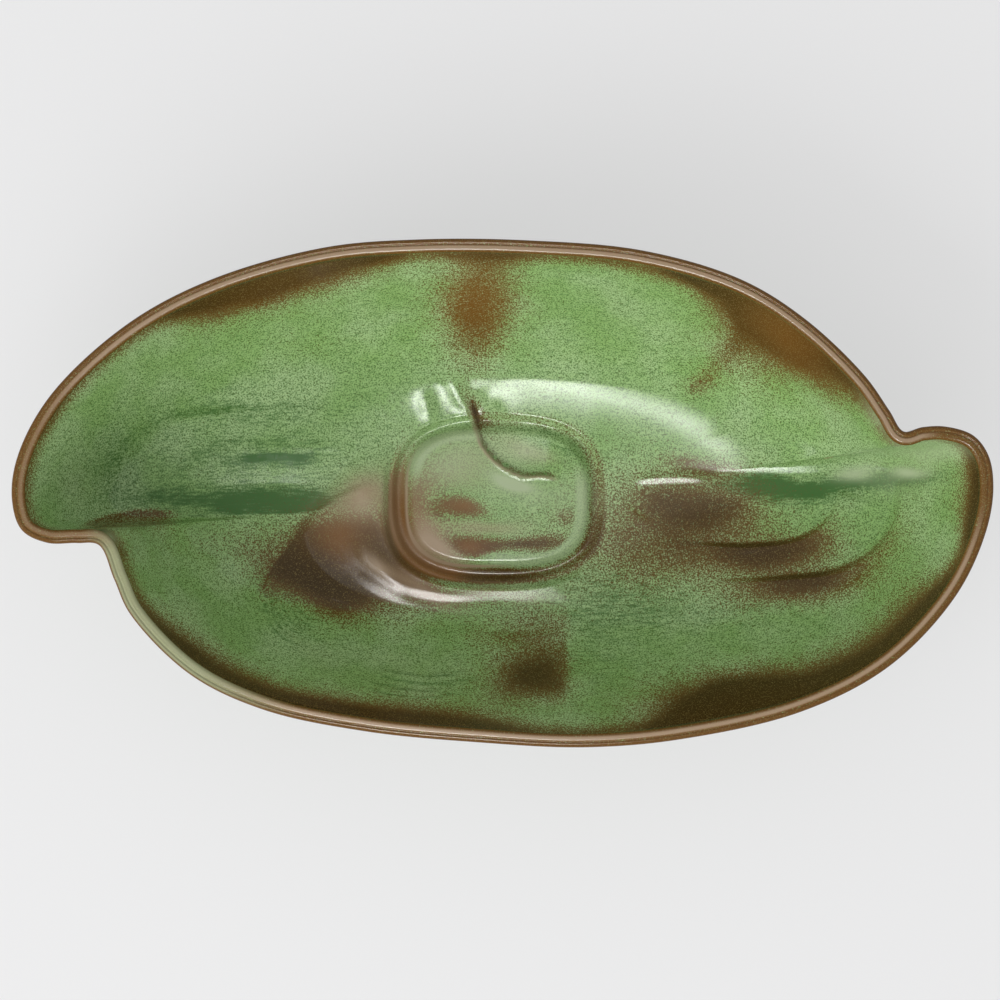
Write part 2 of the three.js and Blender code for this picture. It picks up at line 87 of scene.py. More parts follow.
# Pad in the floor and the groove round it
PAD_LENGTH = 63
PAD_WIDTH = 47.5
PAD_MIDDLE = np.array((-1.7, -1.5))
PAD_SQUARENESS = 2.9  # 2 is an ellipse
PAD_RISE = 1.6
PAD_ROUND = 2.4
PAD_TOP = np.array((12.0, 1.0))  # the highest place of the pad
PAD_BEND = np.array((0.0007, 0.0012))  # curvature of the pad along and across the bowl, per mm
GROOVE_WIDTH = 5.4
GROOVE_DEPTH = 2.4
GROOVE_SHALLOW = 1.1  # its depth on the right and at the top
GROOVE_BOTTOM = 0.5  # where its bottom lies, as a share of its width

# Foot ring
FOOT_HEIGHT = 5
FOOT_WIDTH = 5
FOOT_FILLET = 4
FOOT_DRAFT = 0.8
FOOT_DRY = 1.5
FOOT_ROUND = 0.4
RECESS_BARE = 1
RECESS_ROUND = 0.02  # rounded edge of the recess glaze, as a share of the way out

# Sculpted relief
TERRACE_HEIGHT = 2.0
FAINT_HEIGHT = 1.2
TERRACE_EDGE = 1.1
FAINT_EDGE = 2.8
TERRACE_FADE = 9
VALLEY_DEPTH = 0.4
VALLEY_REACH = 4.5
CREASE_DEPTH = 2.2
CREASE_EDGE = 0.6
CREASE_REACH = 8  # how far the drop beyond the crease reaches, off the pad and on it
CREASE_PAD_REACH = 20
CREASE_BEAD = 0.35
WAVE_HEIGHT = 0.7
COLLAR_HEIGHT = 3.2
COLLAR_FALL = 1.4  # how it falls away beyond its crest: 1 is straight
COLLAR_CREST = 3
COLLAR_TOP_REACH = 14
COLLAR_LEFT_REACH = 30
COLLAR_LOW_REACH = 13
COLLAR_TOP_TO_LEFT = (-0.3, 0.2)  # sines of the turn below the pad between which its reach changes
COLLAR_LEFT_TO_LOW = (0.2, 0.9)
GROOVE_RELIEF = 0.3  # share of the terraces, valleys, steps and ridges that is left at the groove

# Sides of the pad: the direction in degrees, and the cosines between which a side fades in
COLLAR_SIDE = (242, 0.0, 0.5)
SHALLOW_SIDE = (45, -0.3, 0.5)
BROWN_SIDE = (225, -0.1, 0.7)
GREEN_SIDE = (135, 0.75, 0.95)
RUST_SIDE = (195, 0.5, 0.8)
PAD_HIGHLIGHT_SIDE = (215, 0.2, 0.8)
BAND_SIDES = [(318, 0.35, 0.7), (135, 0.8, 0.95)]

# Shares of a line up to which its relief or paint fades in, and from which it fades out
TERRACE_ENDS = (0.1, 0.7)
FAINT_ENDS = (0.7, 0.85)
VALLEY_ENDS = (0.15, 0.75)
CREASE_ENDS = (0.12, 0.85)
STEP_ENDS = (0.2, 0.8)
RIDGE_ENDS = (0.3, 0.7)
PAINT_ENDS = (0.25, 0.75)
TERRACE_BROWN_ENDS = (0.5, 0.6)
FAINT_TEAL_ENDS = (0.7, 0.9)

# Levels, and limits of the wall's bow
FLOOR_LEVEL = FOOT_HEIGHT + WALL
RIM_EDGE_LEVEL = HEIGHT - RIM_ROUND
FOOT_GROW = (GROOVE_WIDTH + FOOT_WIDTH) / 2  # how far the foot's glazed side lies outside the pad
GENTLEST_BOW, DEEPEST_BOW = 1.15, 4

# Rim outline: each lobe runs from its notch to the end of its tip
FAR_LOBE = [
    (0.817, 0.244), (0.788, 0.326), (0.738, 0.463), (0.616, 0.687), (0.485, 0.843), (0.286, 0.956),
    (0.054, 0.996), (-0.168, 1.0), (-0.364, 0.968), (-0.598, 0.839), (-0.769, 0.661), (-0.924, 0.38),
    (-0.99, 0.138), (-1.0, -0.028), (-0.98, -0.145), (-0.928, -0.195), (-0.867, -0.196),
]
NEAR_LOBE = [
    (-0.823, -0.204), (-0.792, -0.338), (-0.759, -0.476), (-0.638, -0.712), (-0.489, -0.851),
    (-0.28, -0.937), (-0.053, -0.98), (0.168, -1.0), (0.364, -0.968), (0.611, -0.858), (0.789, -0.679),
    (0.923, -0.405), (0.984, -0.157), (1.0, 0.02), (0.99, 0.149), (0.959, 0.228), (0.903, 0.263),
    (0.855, 0.261),
]

# Sculpted lines. A terrace steps up to the left of its line
OUTER_TERRACE = [
    (0.821, 0.059), (0.819, -0.028), (0.807, -0.126), (0.768, -0.224), (0.699, -0.303), (0.579, -0.338),
    (0.473, -0.35), (0.341, -0.346),
]
INNER_TERRACE = [
    (0.707, 0.024), (0.695, -0.047), (0.666, -0.122), (0.617, -0.181), (0.524, -0.208), (0.426, -0.204),
    (0.31, -0.185),
]
TERRACES = [OUTER_TERRACE, INNER_TERRACE]
FAR_VALLEY = [(-0.88, -0.004), (-0.758, 0.012), (-0.615, 0.031), (-0.489, 0.039), (-0.341, 0.028)]
NEAR_VALLEY = [(0.89, 0.122), (0.748, 0.09), (0.605, 0.079), (0.524, 0.079), (0.402, 0.09), (0.288, 0.09)]
PAD_CREASE = [
    (-0.082, 0.405), (-0.056, 0.299), (-0.05, 0.234), (-0.032, 0.169), (-0.001, 0.114), (0.044, 0.075),
    (0.086, 0.075), (0.121, 0.059),
]
WAVE = [
    (0.076, -0.782), (-0.086, -0.802), (-0.239, -0.774), (-0.371, -0.676), (-0.459, -0.519),
    (-0.481, -0.361), (-0.447, -0.204), (-0.375, -0.075),
]

# Low steps, like terraces: the line, height, half width of its edge and fade
STEPS = [
    ([
        (-0.213, 0.075), (-0.278, 0.043), (-0.339, -0.004), (-0.392, -0.075), (-0.422, -0.153),
        (-0.451, -0.232), (-0.479, -0.31), (-0.497, -0.389), (-0.489, -0.479),
    ], 1.1, 1.4, 25),
    ([(0.137, -0.554), (0.036, -0.566), (-0.046, -0.562), (-0.115, -0.538)], 0.5, 1.1, 8),
]

# Soft ridges: the line, height and half width
RIDGES = [
    ([(-0.135, 0.554), (-0.111, 0.468), (-0.091, 0.389), (-0.07, 0.318), (-0.052, 0.255)], 0.6, 2.6),
    ([(-0.172, 0.444), (-0.16, 0.358), (-0.148, 0.271), (-0.133, 0.208)], 0.4, 2.2),
    ([(0.259, 0.051), (0.31, 0.063), (0.381, 0.067), (0.447, 0.059)], 0.35, 1.6),
    ([(0.211, 0.028), (0.239, -0.028), (0.28, -0.098), (0.31, -0.138)], 0.15, 1.6),
    ([(-0.343, 0.122), (-0.294, 0.035), (-0.249, -0.059), (-0.209, -0.169), (-0.16, -0.287)], 0.9, 5.5),
    ([(-0.302, -0.169), (-0.282, -0.263), (-0.233, -0.358), (-0.158, -0.42)], 0.3, 2.6),
    ([(-0.274, -0.208), (-0.249, -0.303), (-0.198, -0.373), (-0.127, -0.409), (-0.005, -0.42)], 0.3, 2.0),
    ([
        (-0.31, -0.303), (-0.274, -0.358), (-0.225, -0.413), (-0.148, -0.452), (-0.005, -0.464),
        (0.117, -0.452),
    ], 0.3, 2.4),
]

# Fine ripples, in the same terms
RIPPLES = [
    ([(-0.318, -0.735), (-0.239, -0.778), (-0.168, -0.798), (-0.086, -0.77), (-0.034, -0.743)], 0.35, 1.2),
    ([(-0.286, -0.688), (-0.209, -0.731), (-0.127, -0.743), (-0.046, -0.707)], 0.3, 1.2),
    ([(-0.477, -0.342), (-0.487, -0.444), (-0.461, -0.554), (-0.394, -0.609)], 0.3, 1.0),
    ([(-0.455, -0.354), (-0.463, -0.448), (-0.436, -0.534), (-0.375, -0.578)], 0.3, 1.0),
    ([(-0.432, -0.365), (-0.436, -0.444), (-0.412, -0.507), (-0.355, -0.538)], 0.25, 1.0),
]

# Where the glaze burnt brown, with one patch of painted shade: place, half length and half width in mm,
# turn in degrees, strength
BROWN_AND_SHADE_PATCHES = [
    (-0.054, 0.75, 14.1, 12.1, 0, 1.25),
    (-0.058, 0.582, 8.1, 10.1, 0, 0.5),
    (-0.025, 0.908, 11.4, 5.4, 0, 0.5),
    (-0.477, 0.806, 24.2, 6.4, 15, 1.2),
    (-0.412, 0.601, 15.1, 4.4, 8, 0.22),
    (0.561, 0.648, 18.8, 11.4, -38, 1.35),
    (0.473, 0.554, 13.4, 8.7, -38, 0.45),
    (0.41, 0.44, 6.7, 3.7, 0, 0.65),
    (0.447, 0.515, 11.4, 3.0, 50, 0.35),
    (0.31, 0.868, 21.8, 3.0, -9, 0.4),
    (0.473, -0.837, 26.2, 8.1, 7, 1.3),
    (0.381, -0.774, 23.5, 8.7, 10, 0.35),
    (-0.339, -0.204, 15.4, 10.7, -15, 1.3),
    (-0.257, -0.193, 7.4, 10.1, 20, 1.0),
    (-0.204, -0.33, 13.4, 4.4, -28, 0.9),
    (-0.379, -0.373, 20.1, 8.1, -20, 1.6),
    (-0.219, -0.342, 23.5, 11.4, -20, 0.3),
    (0.025, -0.578, 16.8, 12.1, 0, 0.45),
    (0.056, -0.735, 12.8, 6.7, 3, 1.15),
    (-0.172, -0.075, 7.4, 16.8, 0, 0.8),
    (-0.18, 0.004, 3.4, 5.4, 0, 0.4),
    (-0.082, -0.063, 6.7, 3.0, -5, 1.6),
    # Painted shade: a dark line in the notch right of the ridge at the top of the crease
    (-0.054, 0.326, 6.7, 2.7, -68, 1.0),
    (-0.062, -0.204, 6.7, 2.7, 0, 1.6),
    (-0.097, -0.417, 21.5, 3.4, 0, 0.5),
    (0.048, -0.208, 12.1, 2.3, 4, 1.2),
    (-0.127, -0.204, 13.4, 6.7, -10, 0.35),
    (-0.097, 0.102, 12.1, 8.1, 0, 0.4),
    (0.133, -0.094, 3.4, 2.3, 0, 0.6),
    (0.426, -0.063, 20.8, 8.1, -6, 0.85),
    (0.426, 0.106, 11.4, 2.7, -4, 0.75),
    (0.337, -0.106, 28.2, 18.8, 0, 0.8),
    (0.28, -0.263, 26.9, 10.7, 0, 0.5),
    (0.577, -0.251, 20.1, 5.7, 6, 0.9),
    (0.617, -0.385, 20.1, 5.4, 8, 0.9),
    (-0.615, -0.185, 40.3, 6.0, 0, 0.3),
    (-0.687, -0.42, 10.1, 13.4, 40, 0.15),
    (0.959, -0.059, 4.4, 17.5, 0, 1.0),
    (0.87, 0.09, 16.8, 16.8, 0, 0.2),
    (-0.168, -0.861, 36.9, 6.0, -4, 0.5),
]

# Where the brown turns to rust, in the same terms
RUST_PATCHES = [
    (-0.058, 0.766, 11.4, 11.4, 0, 0.7),
    (0.581, 0.625, 15.4, 7.4, -38, 0.6),
    (-0.463, 0.821, 22.2, 5.0, 15, 0.2),
    (-0.086, -0.059, 6.0, 2.7, 0, 0.5),
    (-0.343, -0.185, 7.4, 6.7, -20, 0.8),
    (-0.278, -0.106, 10.1, 9.4, 0, 0.3),
    (-0.18, -0.106, 5.4, 14.8, 0, 0.7),
    (-0.066, -0.204, 6.0, 2.7, 0, 0.9),
    (-0.082, -0.059, 5.4, 2.7, 0, 0.4),
    (-0.168, -0.381, 13.4, 4.7, -20, 0.4),
]

# Brown that starts at a line, with painted shade in part of the last: the line, reach in mm to its left and
# to its right, strength
BROWN_AND_SHADE_LINES = [
    ([
        (-0.717, 0.609), (-0.626, 0.735), (-0.514, 0.833), (-0.392, 0.896), (-0.259, 0.931),
        (-0.148, 0.943),
    ], 6.0, 7.0, 0.9),
    ([
        (0.28, 0.908), (0.402, 0.825), (0.504, 0.711), (0.605, 0.562), (0.687, 0.405), (0.752, 0.255),
    ], 6.0, 5.5, 0.85),
    ([
        (0.947, -0.185), (0.89, -0.42), (0.799, -0.609), (0.687, -0.743), (0.565, -0.833),
        (0.432, -0.884), (0.259, -0.908),
    ], 6.0, 10.5, 1.7),
    ([
        (0.117, -0.919), (-0.046, -0.919), (-0.209, -0.9), (-0.351, -0.857), (-0.473, -0.786),
        (-0.585, -0.676), (-0.687, -0.53), (-0.762, -0.342),
    ], 4.0, 6.0, 1.1),
    ([(-0.949, 0.169), (-0.917, 0.365), (-0.849, 0.562), (-0.758, 0.699), (-0.636, 0.825)], 3.0, 3.0, 0.5),
    ([(0.129, -0.381), (0.129, -0.578), (0.125, -0.735), (0.121, -0.876)], 1.4, 19.0, 0.5),
    ([(0.127, -0.554), (0.036, -0.566), (-0.046, -0.562), (-0.111, -0.542)], 3.5, 0.9, 0.2),
    ([
        (-0.406, -0.051), (-0.422, -0.138), (-0.445, -0.224), (-0.479, -0.31), (-0.499, -0.389),
        (-0.489, -0.479),
    ], 6.0, 1.0, 0.4),
    # Brown along the fold at the left notch: partly glaze, partly painted shade under the fold
    ([
        (-0.888, -0.149), (-0.839, -0.11), (-0.778, -0.079), (-0.717, -0.075), (-0.652, -0.094),
    ], 1.2, 5.0, 1.1),
]

# Where the glaze pooled to a blue green, with one broad patch of painted shade, in the terms of the patches
TEAL_AND_SHADE_PATCHES = [
    (0.565, 0.02, 16.8, 4.0, -4, 1.5),
    (0.691, 0.031, 14.8, 2.0, 3, 1.1),
    (0.825, 0.059, 11.4, 2.3, 6, 1.0),
    (0.361, -0.468, 40.3, 6.7, 0, 0.3),
    (-0.489, -0.02, 23.5, 3.7, 0, 0.9),
    (-0.697, -0.024, 16.8, 2.7, 0, 0.6),
    (-0.477, 0.138, 17.5, 2.3, 0, 0.5),
    (-0.534, 0.322, 20.1, 2.7, -3, 0.3),
    # Painted shade: a broad darker patch over the left lobe's floor
    (-0.615, 0.169, 40.3, 18.5, 0, 0.3),
    (-0.803, 0.11, 5.4, 11.4, 0, 0.35),
    (0.249, -0.373, 16.1, 4.7, 0, 0.3),
    (0.198, -0.578, 20.1, 13.4, 0, 0.25),
    (0.117, 0.185, 8.7, 3.0, -20, 0.4),
]

# Blue green that starts at a line, in the terms of the brown lines
TEAL_LINES = [
    ([
        (-0.636, -0.075), (-0.554, -0.079), (-0.473, -0.075), (-0.392, -0.063), (-0.335, -0.035),
    ], 6.0, 0.7, 0.9),
    ([(-0.375, 0.161), (-0.432, 0.157), (-0.493, 0.157), (-0.571, 0.149)], 3.2, 0.5, 0.8),
]

# Pale green spots, and some painted highlights of gloss, in the terms of the patches
MINT_AND_HIGHLIGHT_PATCHES = [
    # Painted highlight: a gloss spot on the pad below the crease
    (0.023, 0.043, 5.7, 2.0, -14, 1.3),
    (-0.811, -0.189, 2.3, 2.3, 0, 1.0),
    (0.807, 0.224, 2.3, 2.3, 0, 0.8),
    # Painted highlights, on this line and the next three: gloss on the right tip's inner wall, a strip by
    # the right notch and spots in the right valley
    (0.88, 0.169, 10.7, 3.0, 0, 0.5),
    (0.772, 0.295, 2.7, 6.7, 35, 0.5),
    (0.731, 0.075, 5.7, 2.3, 5, 0.85),
    (0.841, 0.086, 4.0, 1.7, 5, 0.85),
    (-0.107, 0.122, 14.1, 7.4, 0, 0.5),
    (0.086, -0.016, 16.8, 5.4, 0, 0.35),
    (0.052, 0.169, 7.4, 2.7, -10, 0.4),
    (0.819, 0.051, 10.1, 4.7, 0, 0.25),
]

# Pale tan, mostly painted highlights of gloss on the pad, the mound and below the groove, in the same
# terms. A strength below 0 takes tan away
TAN_AND_HIGHLIGHT_PATCHES = [
    (-0.082, -0.063, 6.7, 3.0, -5, -0.7),
    (-0.058, -0.204, 7.4, 2.7, 0, -0.7),
    (0.052, 0.169, 7.4, 2.3, -18, 0.35),
    (-0.05, -0.138, 12.1, 2.7, 0, 0.55),
    (-0.131, -0.232, 8.7, 3.7, -20, 0.9),
    (-0.16, -0.138, 4.7, 8.7, 10, 0.5),
    (-0.298, -0.02, 9.4, 5.7, 25, 0.9),
    (-0.237, -0.106, 3.0, 8.7, 12, 0.35),
    (-0.261, -0.287, 5.4, 2.3, -50, 0.6),
    (-0.097, 0.098, 13.4, 6.7, 15, 0.35),
    (-0.2, -0.358, 13.4, 2.3, -28, 0.5),
    (-0.066, -0.405, 20.1, 2.3, 0, 0.35),
]

# Paint that follows the relief: reach to the left and to the right of a line, strength. The terraces' brown
# is partly glaze and partly painted shade on their step faces
TERRACE_BROWN_AND_SHADE = (8.0, 0.9, 0.75)
FAINT_TEAL = (1.6, 1.6, 0.3)

# Fine lines of paint beside the crease: how far to its left, half width, strength and ends. The brown is
# painted shade in the drop, the tan a painted highlight on the bead
CREASE_SHADE = (0.5, 0.6, 0.9, (0.05, 0.9))
CREASE_HIGHLIGHT = (-CREASE_EDGE, 0.55, 0.9, (0.25, 0.9))

# Fine lines in the troughs of the ripples and, as a painted highlight, at the pad's edge: half width and
# strength
TROUGH_WIDTH, TROUGH_TEAL = 0.5, 0.7
PAD_LINE_WIDTH, PAD_LINE_HIGHLIGHT = 0.5, 0.9
PAD_LINE_INSET = 0.2

# Paint in the groove, which fades over each of its edges between two distances
GROOVE_SOFTNESS = (-0.5, 1.5)
GROOVE_BROWN = 0.5
GROOVE_BROWN_MORE, GROOVE_BROWN_LESS = 0.8, 0.7  # on its brown side and on its green side
GROOVE_RUST = 1.2

# Light band inside the pad's edge: the distances outside that edge where it fades in and out
BAND_IN, BAND_OUT = (-5.5, -3.5), (-1.2, 0.4)
BAND_BROWN_LESS = 0.8
BAND_MINT = 0.5

# Where paint on the rim fades in and out, as shares of the way over it
# The light line is the rim's tan glaze, partly a painted highlight
LIGHT_LINE = ((0.2, 0.34), (0.44, 0.56))
PALE_TOP = ((0.02, 0.12), (0.72, 0.86))
PLAIN_TOP = ((0.05, 0.25), (0.6, 0.8))

# Stretches of the rim: the half lengths and half widths between which they fade in, and out
PALE_LEFTWARD, PALE_NEARWARD = ((0.4, 0.65), (0.8, 0.86)), (0.1, 0.25)
TIP_RIGHTWARD, TIP_FARWARD = (0.84, 0.9), (-0.3, 0.0)
END_LEFTWARD, END_NEARWARD = (0.7, 0.85), (-0.6, -0.2)

# Amounts on the rim, its tan partly a painted highlight, and how far its brown runs down the inside and the
# outside
RIM_BROWN, RIM_EDGE_BROWN = 1.4, 0.4
RIM_RUST = 0.5
RIM_MINT = 0.55
RIM_TAN_AND_HIGHLIGHT = 0.75
LEFT_END_DIM = 0.6
INSIDE_RUN, OUTSIDE_RUN = 3.0, 4.0

# Amounts on the outside, and how far they drift
OUTSIDE_BROWN = 0.25
OUTSIDE_BROWN_DRIFT, OUTSIDE_TEAL_DRIFT = 0.6, 0.3
MOST_PAINT = 2.5  # of any colour

# Slow waves that break up even paint: their turns along x and y, phase and strength
SWAY_ALONG = [(1, 1.7, 0.4, 1), (2.3, -1.1, 2.0, 0.6)]
SWAY_ACROSS = [(1.3, -0.8, 1.1, 1), (1.9, 2.1, 4.0, 0.6)]
PATCH_SWAY = (7, 0.7)  # length and size of the waves
OUTSIDE_SWAY = (19, 0.5)
PATCH_FALL = 0.7  # how fast a patch falls off

# Rows and columns of the mesh
COLUMNS_PER_STATION = 16
CURVE_STEPS = 24
LINE_STEPS = 6
SLOPE_STEP = 0.007  # part of a station, for slopes along the rim
FIRST_ROW, CLOSE_ROWS = 0.02, 0.68  # shares of the way from the pad's middle to the groove's outer edge
PAD_ROWS = np.concatenate((
    np.linspace(FIRST_ROW, CLOSE_ROWS, 24, endpoint=False),
    np.linspace(CLOSE_ROWS, 1, 36),
))
CLIMB_ROWS = np.linspace(-1, 1, 131)[1:]  # from the groove over the edge of the floor, at 0, to the rim
RIM_ROWS = np.linspace(0, 1, 31)[1:]
DESCENT_ROWS = np.linspace(1, -1, 57)[1:]  # the same on the outside, downwards
FOOT_ROWS = np.linspace(0, 1, 13)[1:]
RECESS_TOP_ROWS, RECESS_EDGE_ROWS, RECESS_FACE_ROWS = 12, 9, 30
RECESS_INNER, RECESS_OUTER = 0.03, 0.97  # shares of the way out, of its flat rows
RELIEF_FROM = (0.9, 1)  # pad rows between which relief comes in, up to its share at the groove
RELIEF_FULL = (-1, -0.75)  # climb rows between which it gets full
RELIEF_OUT = (0.6, 1)  # climb rows between which it goes out towards the rim
INSIDE_COUNT = len(PAD_ROWS) + len(CLIMB_ROWS)
RIM_END = INSIDE_COUNT + len(RIM_ROWS)
WALL_END = RIM_END + len(DESCENT_ROWS)
HIDDEN_ROW_STEP = 3


def smooth(start, end, x):
    """0 before start, 1 after end and an S curve between them."""
    t = np.clip((x - start) / (end - start), 0, 1)
    return t * t * (3 - 2 * t)


def span(rise, fall, x):
    """1 from the end of a rise to the start of a fall, and 0 beyond both."""
    return smooth(*rise, x) * (1 - smooth(*fall, x))


def bell(x, half_width):
    """1 at 0, falling off to both sides."""
    return np.exp(-((x / half_width) ** 2))


def ease(t):
    """0 far below 0 and t far above it, with a rounded bend between them."""
    return np.where(np.abs(t) < FLOOR_BEND, (t + FLOOR_BEND) ** 2 / (4 * FLOOR_BEND), np.maximum(t, 0))


def length(vectors):
    return np.linalg.norm(vectors, axis=-1)


def unit(vectors):
    return vectors / length(vectors)[..., None]


def dot(a, b):
    return np.sum(a * b, axis=-1)


def curve(nodes, places, closed):
    """Points of a smooth curve through nodes. A place is a node's number, with a part of the way on."""
    first = np.floor(places).astype(int)
    if closed:
        ends = [nodes[(first + k) % len(nodes)] for k in (-1, 0, 1, 2)]
    else:
        first = np.clip(first, 0, len(nodes) - 2)
        before, after = 2 * nodes[0] - nodes[1], 2 * nodes[-1] - nodes[-2]
        padded = np.vstack((before, nodes, after))
        ends = [padded[first + k] for k in (0, 1, 2, 3)]
    part = (places - first)[:, None]
    p0, p1, p2, p3 = ends
    d0, d1, d2 = (np.sqrt(length(b - a))[:, None] for a, b in zip(ends, ends[1:]))
    leave = ((p1 - p0) / d0 - (p2 - p0) / (d0 + d1) + (p2 - p1) / d1) * d1
    reach = ((p2 - p1) / d1 - (p3 - p1) / (d1 + d2) + (p3 - p2) / d2) * d1
    square = 3 * (p2 - p1) - 2 * leave - reach
    cube = 2 * (p1 - p2) + leave + reach
    return p1 + part * (leave + part * (square + part * cube))


# The rim curve, fitted to the overall size
stations = np.array(FAR_LOBE + NEAR_LOBE) * HALF_SIZE
drawn_rim = curve(stations, np.arange(len(stations) * CURVE_STEPS) / CURVE_STEPS, True)
rim_low, rim_high = drawn_rim.min(axis=0), drawn_rim.max(axis=0)
rim_middle = (rim_low + rim_high) / 2
rim_fit = 2 * HALF_SIZE / (rim_high - rim_low)


def fitted(points):
    return (points - rim_middle) * rim_fit


def rim_points(places):
    return fitted(curve(stations, places % len(stations), True))


def pad_radius(angle, grow):
    """Radius of the pad's oval, grown outwards, in a direction."""
    along = np.abs(np.cos(angle)) / (PAD_LENGTH / 2 + grow)
    across = np.abs(np.sin(angle)) / (PAD_WIDTH / 2 + grow)
    return (along**PAD_SQUARENESS + across**PAD_SQUARENESS) ** (-1 / PAD_SQUARENESS)


def pad_points(angle, grow):
    radius = pad_radius(angle, grow)
    return PAD_MIDDLE + radius[..., None] * np.stack((np.cos(angle), np.sin(angle)), axis=-1)


def from_pad(places):
    """Distance outside the groove, roughly, and direction from the pad's middle."""
    offset = places - PAD_MIDDLE
    angle = np.arctan2(offset[..., 1], offset[..., 0])
    return length(offset) - pad_radius(angle, GROOVE_WIDTH), angle


def toward(angle, degrees, start, end):
    """1 in directions from the pad that lie near one, falling to 0 between two cosines."""
    return smooth(start, end, np.cos(angle - math.radians(degrees)))


def floor_edge(rim):
    """The edge of the floor that rim points look down to."""
    spine_end = np.array((FLOOR_SPINE, FLOOR_TURN)) / 2
    along = rim @ spine_end / (spine_end @ spine_end)
    share = along / (1 + np.abs(along) ** END_BEND) ** (1 / END_BEND)
    foot = share[:, None] * spine_end
    radius = FLOOR_END / 2 + (FLOOR_WIDTH - FLOOR_END) / 2 * (1 - share**2)
    return foot + radius[:, None] * unit(rim - foot)


def eased_round(ring):
    """A ring of points, evened out over its neighbours."""
    reach = np.arange(-3 * NOTCH_EASE, 3 * NOTCH_EASE + 1)
    weights = np.exp(-((reach / NOTCH_EASE) ** 2) / 2)
    return sum(w * np.roll(ring, k, axis=0) for k, w in zip(reach, weights / weights.sum()))


# Plan of the section lines
column_places = np.arange(len(stations) * COLUMNS_PER_STATION) / COLUMNS_PER_STATION
outer_rim = rim_points(column_places)
rim_along = unit(rim_points(column_places + SLOPE_STEP) - rim_points(column_places - SLOPE_STEP))
rim_inward = np.stack((-rim_along[:, 1], rim_along[:, 0]), axis=1)
inner_rim = outer_rim + RIM_WIDTH * rim_inward
floor_line = eased_round(floor_edge(outer_rim))
floor_along = unit(np.roll(floor_line, -1, axis=0) - np.roll(floor_line, 1, axis=0))
floor_out = np.stack((floor_along[:, 1], -floor_along[:, 0]), axis=1)
pad_angle = np.arctan2(*(floor_line - PAD_MIDDLE).T[::-1])
groove_edge = pad_points(pad_angle, GROOVE_WIDTH)

# Slope of the floor at its edge, square to the edge and along the wall's section line
floor_run = floor_line - groove_edge
floor_length = length(floor_run)
floor_rise = FLOOR_RISE * (1 - np.exp(-floor_length * FLOOR_SLOPE / FLOOR_RISE))
square_run = np.maximum(dot(floor_run, floor_out), LEAST_RUN * floor_length)
edge_slope = EDGE_STEEPNESS * floor_rise / square_run
wall_slope = edge_slope * np.clip(dot(unit(inner_rim - floor_line), floor_out), 0, 1)


def between(start, end, shares):
    """Points on the way from start to end: a row for each share."""
    return start + shares[:, None, None] * (end - start)


def wall_levels(shares, start, end, rise):
    """Heights up a wall that leaves the floor at its slope and reaches the rim at the rim's slope."""
    run = length(end - start)
    left = rise - wall_slope * run
    bow = np.clip((RIM_SLOPE - wall_slope) * run / left, GENTLEST_BOW, DEEPEST_BOW)
    return wall_slope * run * shares[:, None] + left * shares[:, None] ** bow


def line_nodes(points):
    """Points along the smooth curve of a sculpted line."""
    nodes = fitted(np.array(points) * HALF_SIZE)
    places = np.linspace(0, len(nodes) - 1, len(nodes) * LINE_STEPS)
    return curve(nodes, places, False)


def nearest(points, places):
    """Signed distance of places from a sculpted line, positive to its left, and the share along it."""
    nodes = line_nodes(points)
    far = np.full(places.shape[:-1], np.inf)
    side, share = np.ones_like(far), np.zeros_like(far)
    for i, (start, step) in enumerate(zip(nodes, np.diff(nodes, axis=0))):
        offset = places - start
        part = np.clip(offset @ step / (step @ step), 0, 1)
        here = length(offset - part[..., None] * step)
        closer = here < far
        far = np.where(closer, here, far)
        side = np.where(closer, np.sign(step[0] * offset[..., 1] - step[1] * offset[..., 0]), side)
        share = np.where(closer, (i + part) / (len(nodes) - 1), share)
    return far * side, share


def fade_ends(share, start, end):
    return span((0, start), (end, 1), share)


def lip(points, height, edge, reach, ends, places):
    """A lip that steps up to the left of the line and dies away further off."""
    distance, share = nearest(points, places)
    step = smooth(-edge, edge, distance)
    fade = np.exp(-np.maximum(distance, 0) / reach)
    return height * step * fade * fade_ends(share, *ends)


def ridge(points, height, half_width, places):
    """A soft ridge along the line."""
    distance, share = nearest(points, places)
    return height * bell(distance, half_width) * fade_ends(share, *RIDGE_ENDS)


def valley(points, places):
    """A sharp valley on both sides of the line."""
    distance, share = nearest(points, places)
    depth = np.exp(-np.hypot(distance, TERRACE_EDGE / 2) / VALLEY_REACH)
    return -VALLEY_DEPTH * depth * fade_ends(share, *VALLEY_ENDS)


def fold(points, places):
    """The ground drops sharply to the left of the line, under a fine bead along its upper edge."""
    distance, share = nearest(points, places)
    on_pad = 1 - smooth(-GROOVE_WIDTH, 0, from_pad(places)[0])
    reach = CREASE_REACH + (CREASE_PAD_REACH - CREASE_REACH) * on_pad
    drop = smooth(-CREASE_EDGE, CREASE_EDGE, distance) * bell(distance, reach)
    bead = bell(distance + CREASE_EDGE, CREASE_EDGE)
    return (CREASE_BEAD * bead - CREASE_DEPTH * drop) * fade_ends(share, *CREASE_ENDS)


def turned(points):
    """The same line on the other lobe, half a turn round."""
    return [(-x, -y) for x, y in points]


def collar(places):
    """A raised collar round the groove on its left and lower side."""
    distance, angle = from_pad(places)
    below = -np.sin(angle)
    to_left, to_low = smooth(*COLLAR_TOP_TO_LEFT, below), smooth(*COLLAR_LEFT_TO_LOW, below)
    reach = COLLAR_TOP_REACH + (COLLAR_LEFT_REACH - COLLAR_TOP_REACH) * to_left
    reach = reach + (COLLAR_LOW_REACH - COLLAR_LEFT_REACH) * to_low
    rise = smooth(0, COLLAR_CREST, distance) * (1 - np.clip(distance / reach, 0, 1) ** COLLAR_FALL)
    return COLLAR_HEIGHT * rise * toward(angle, *COLLAR_SIDE)


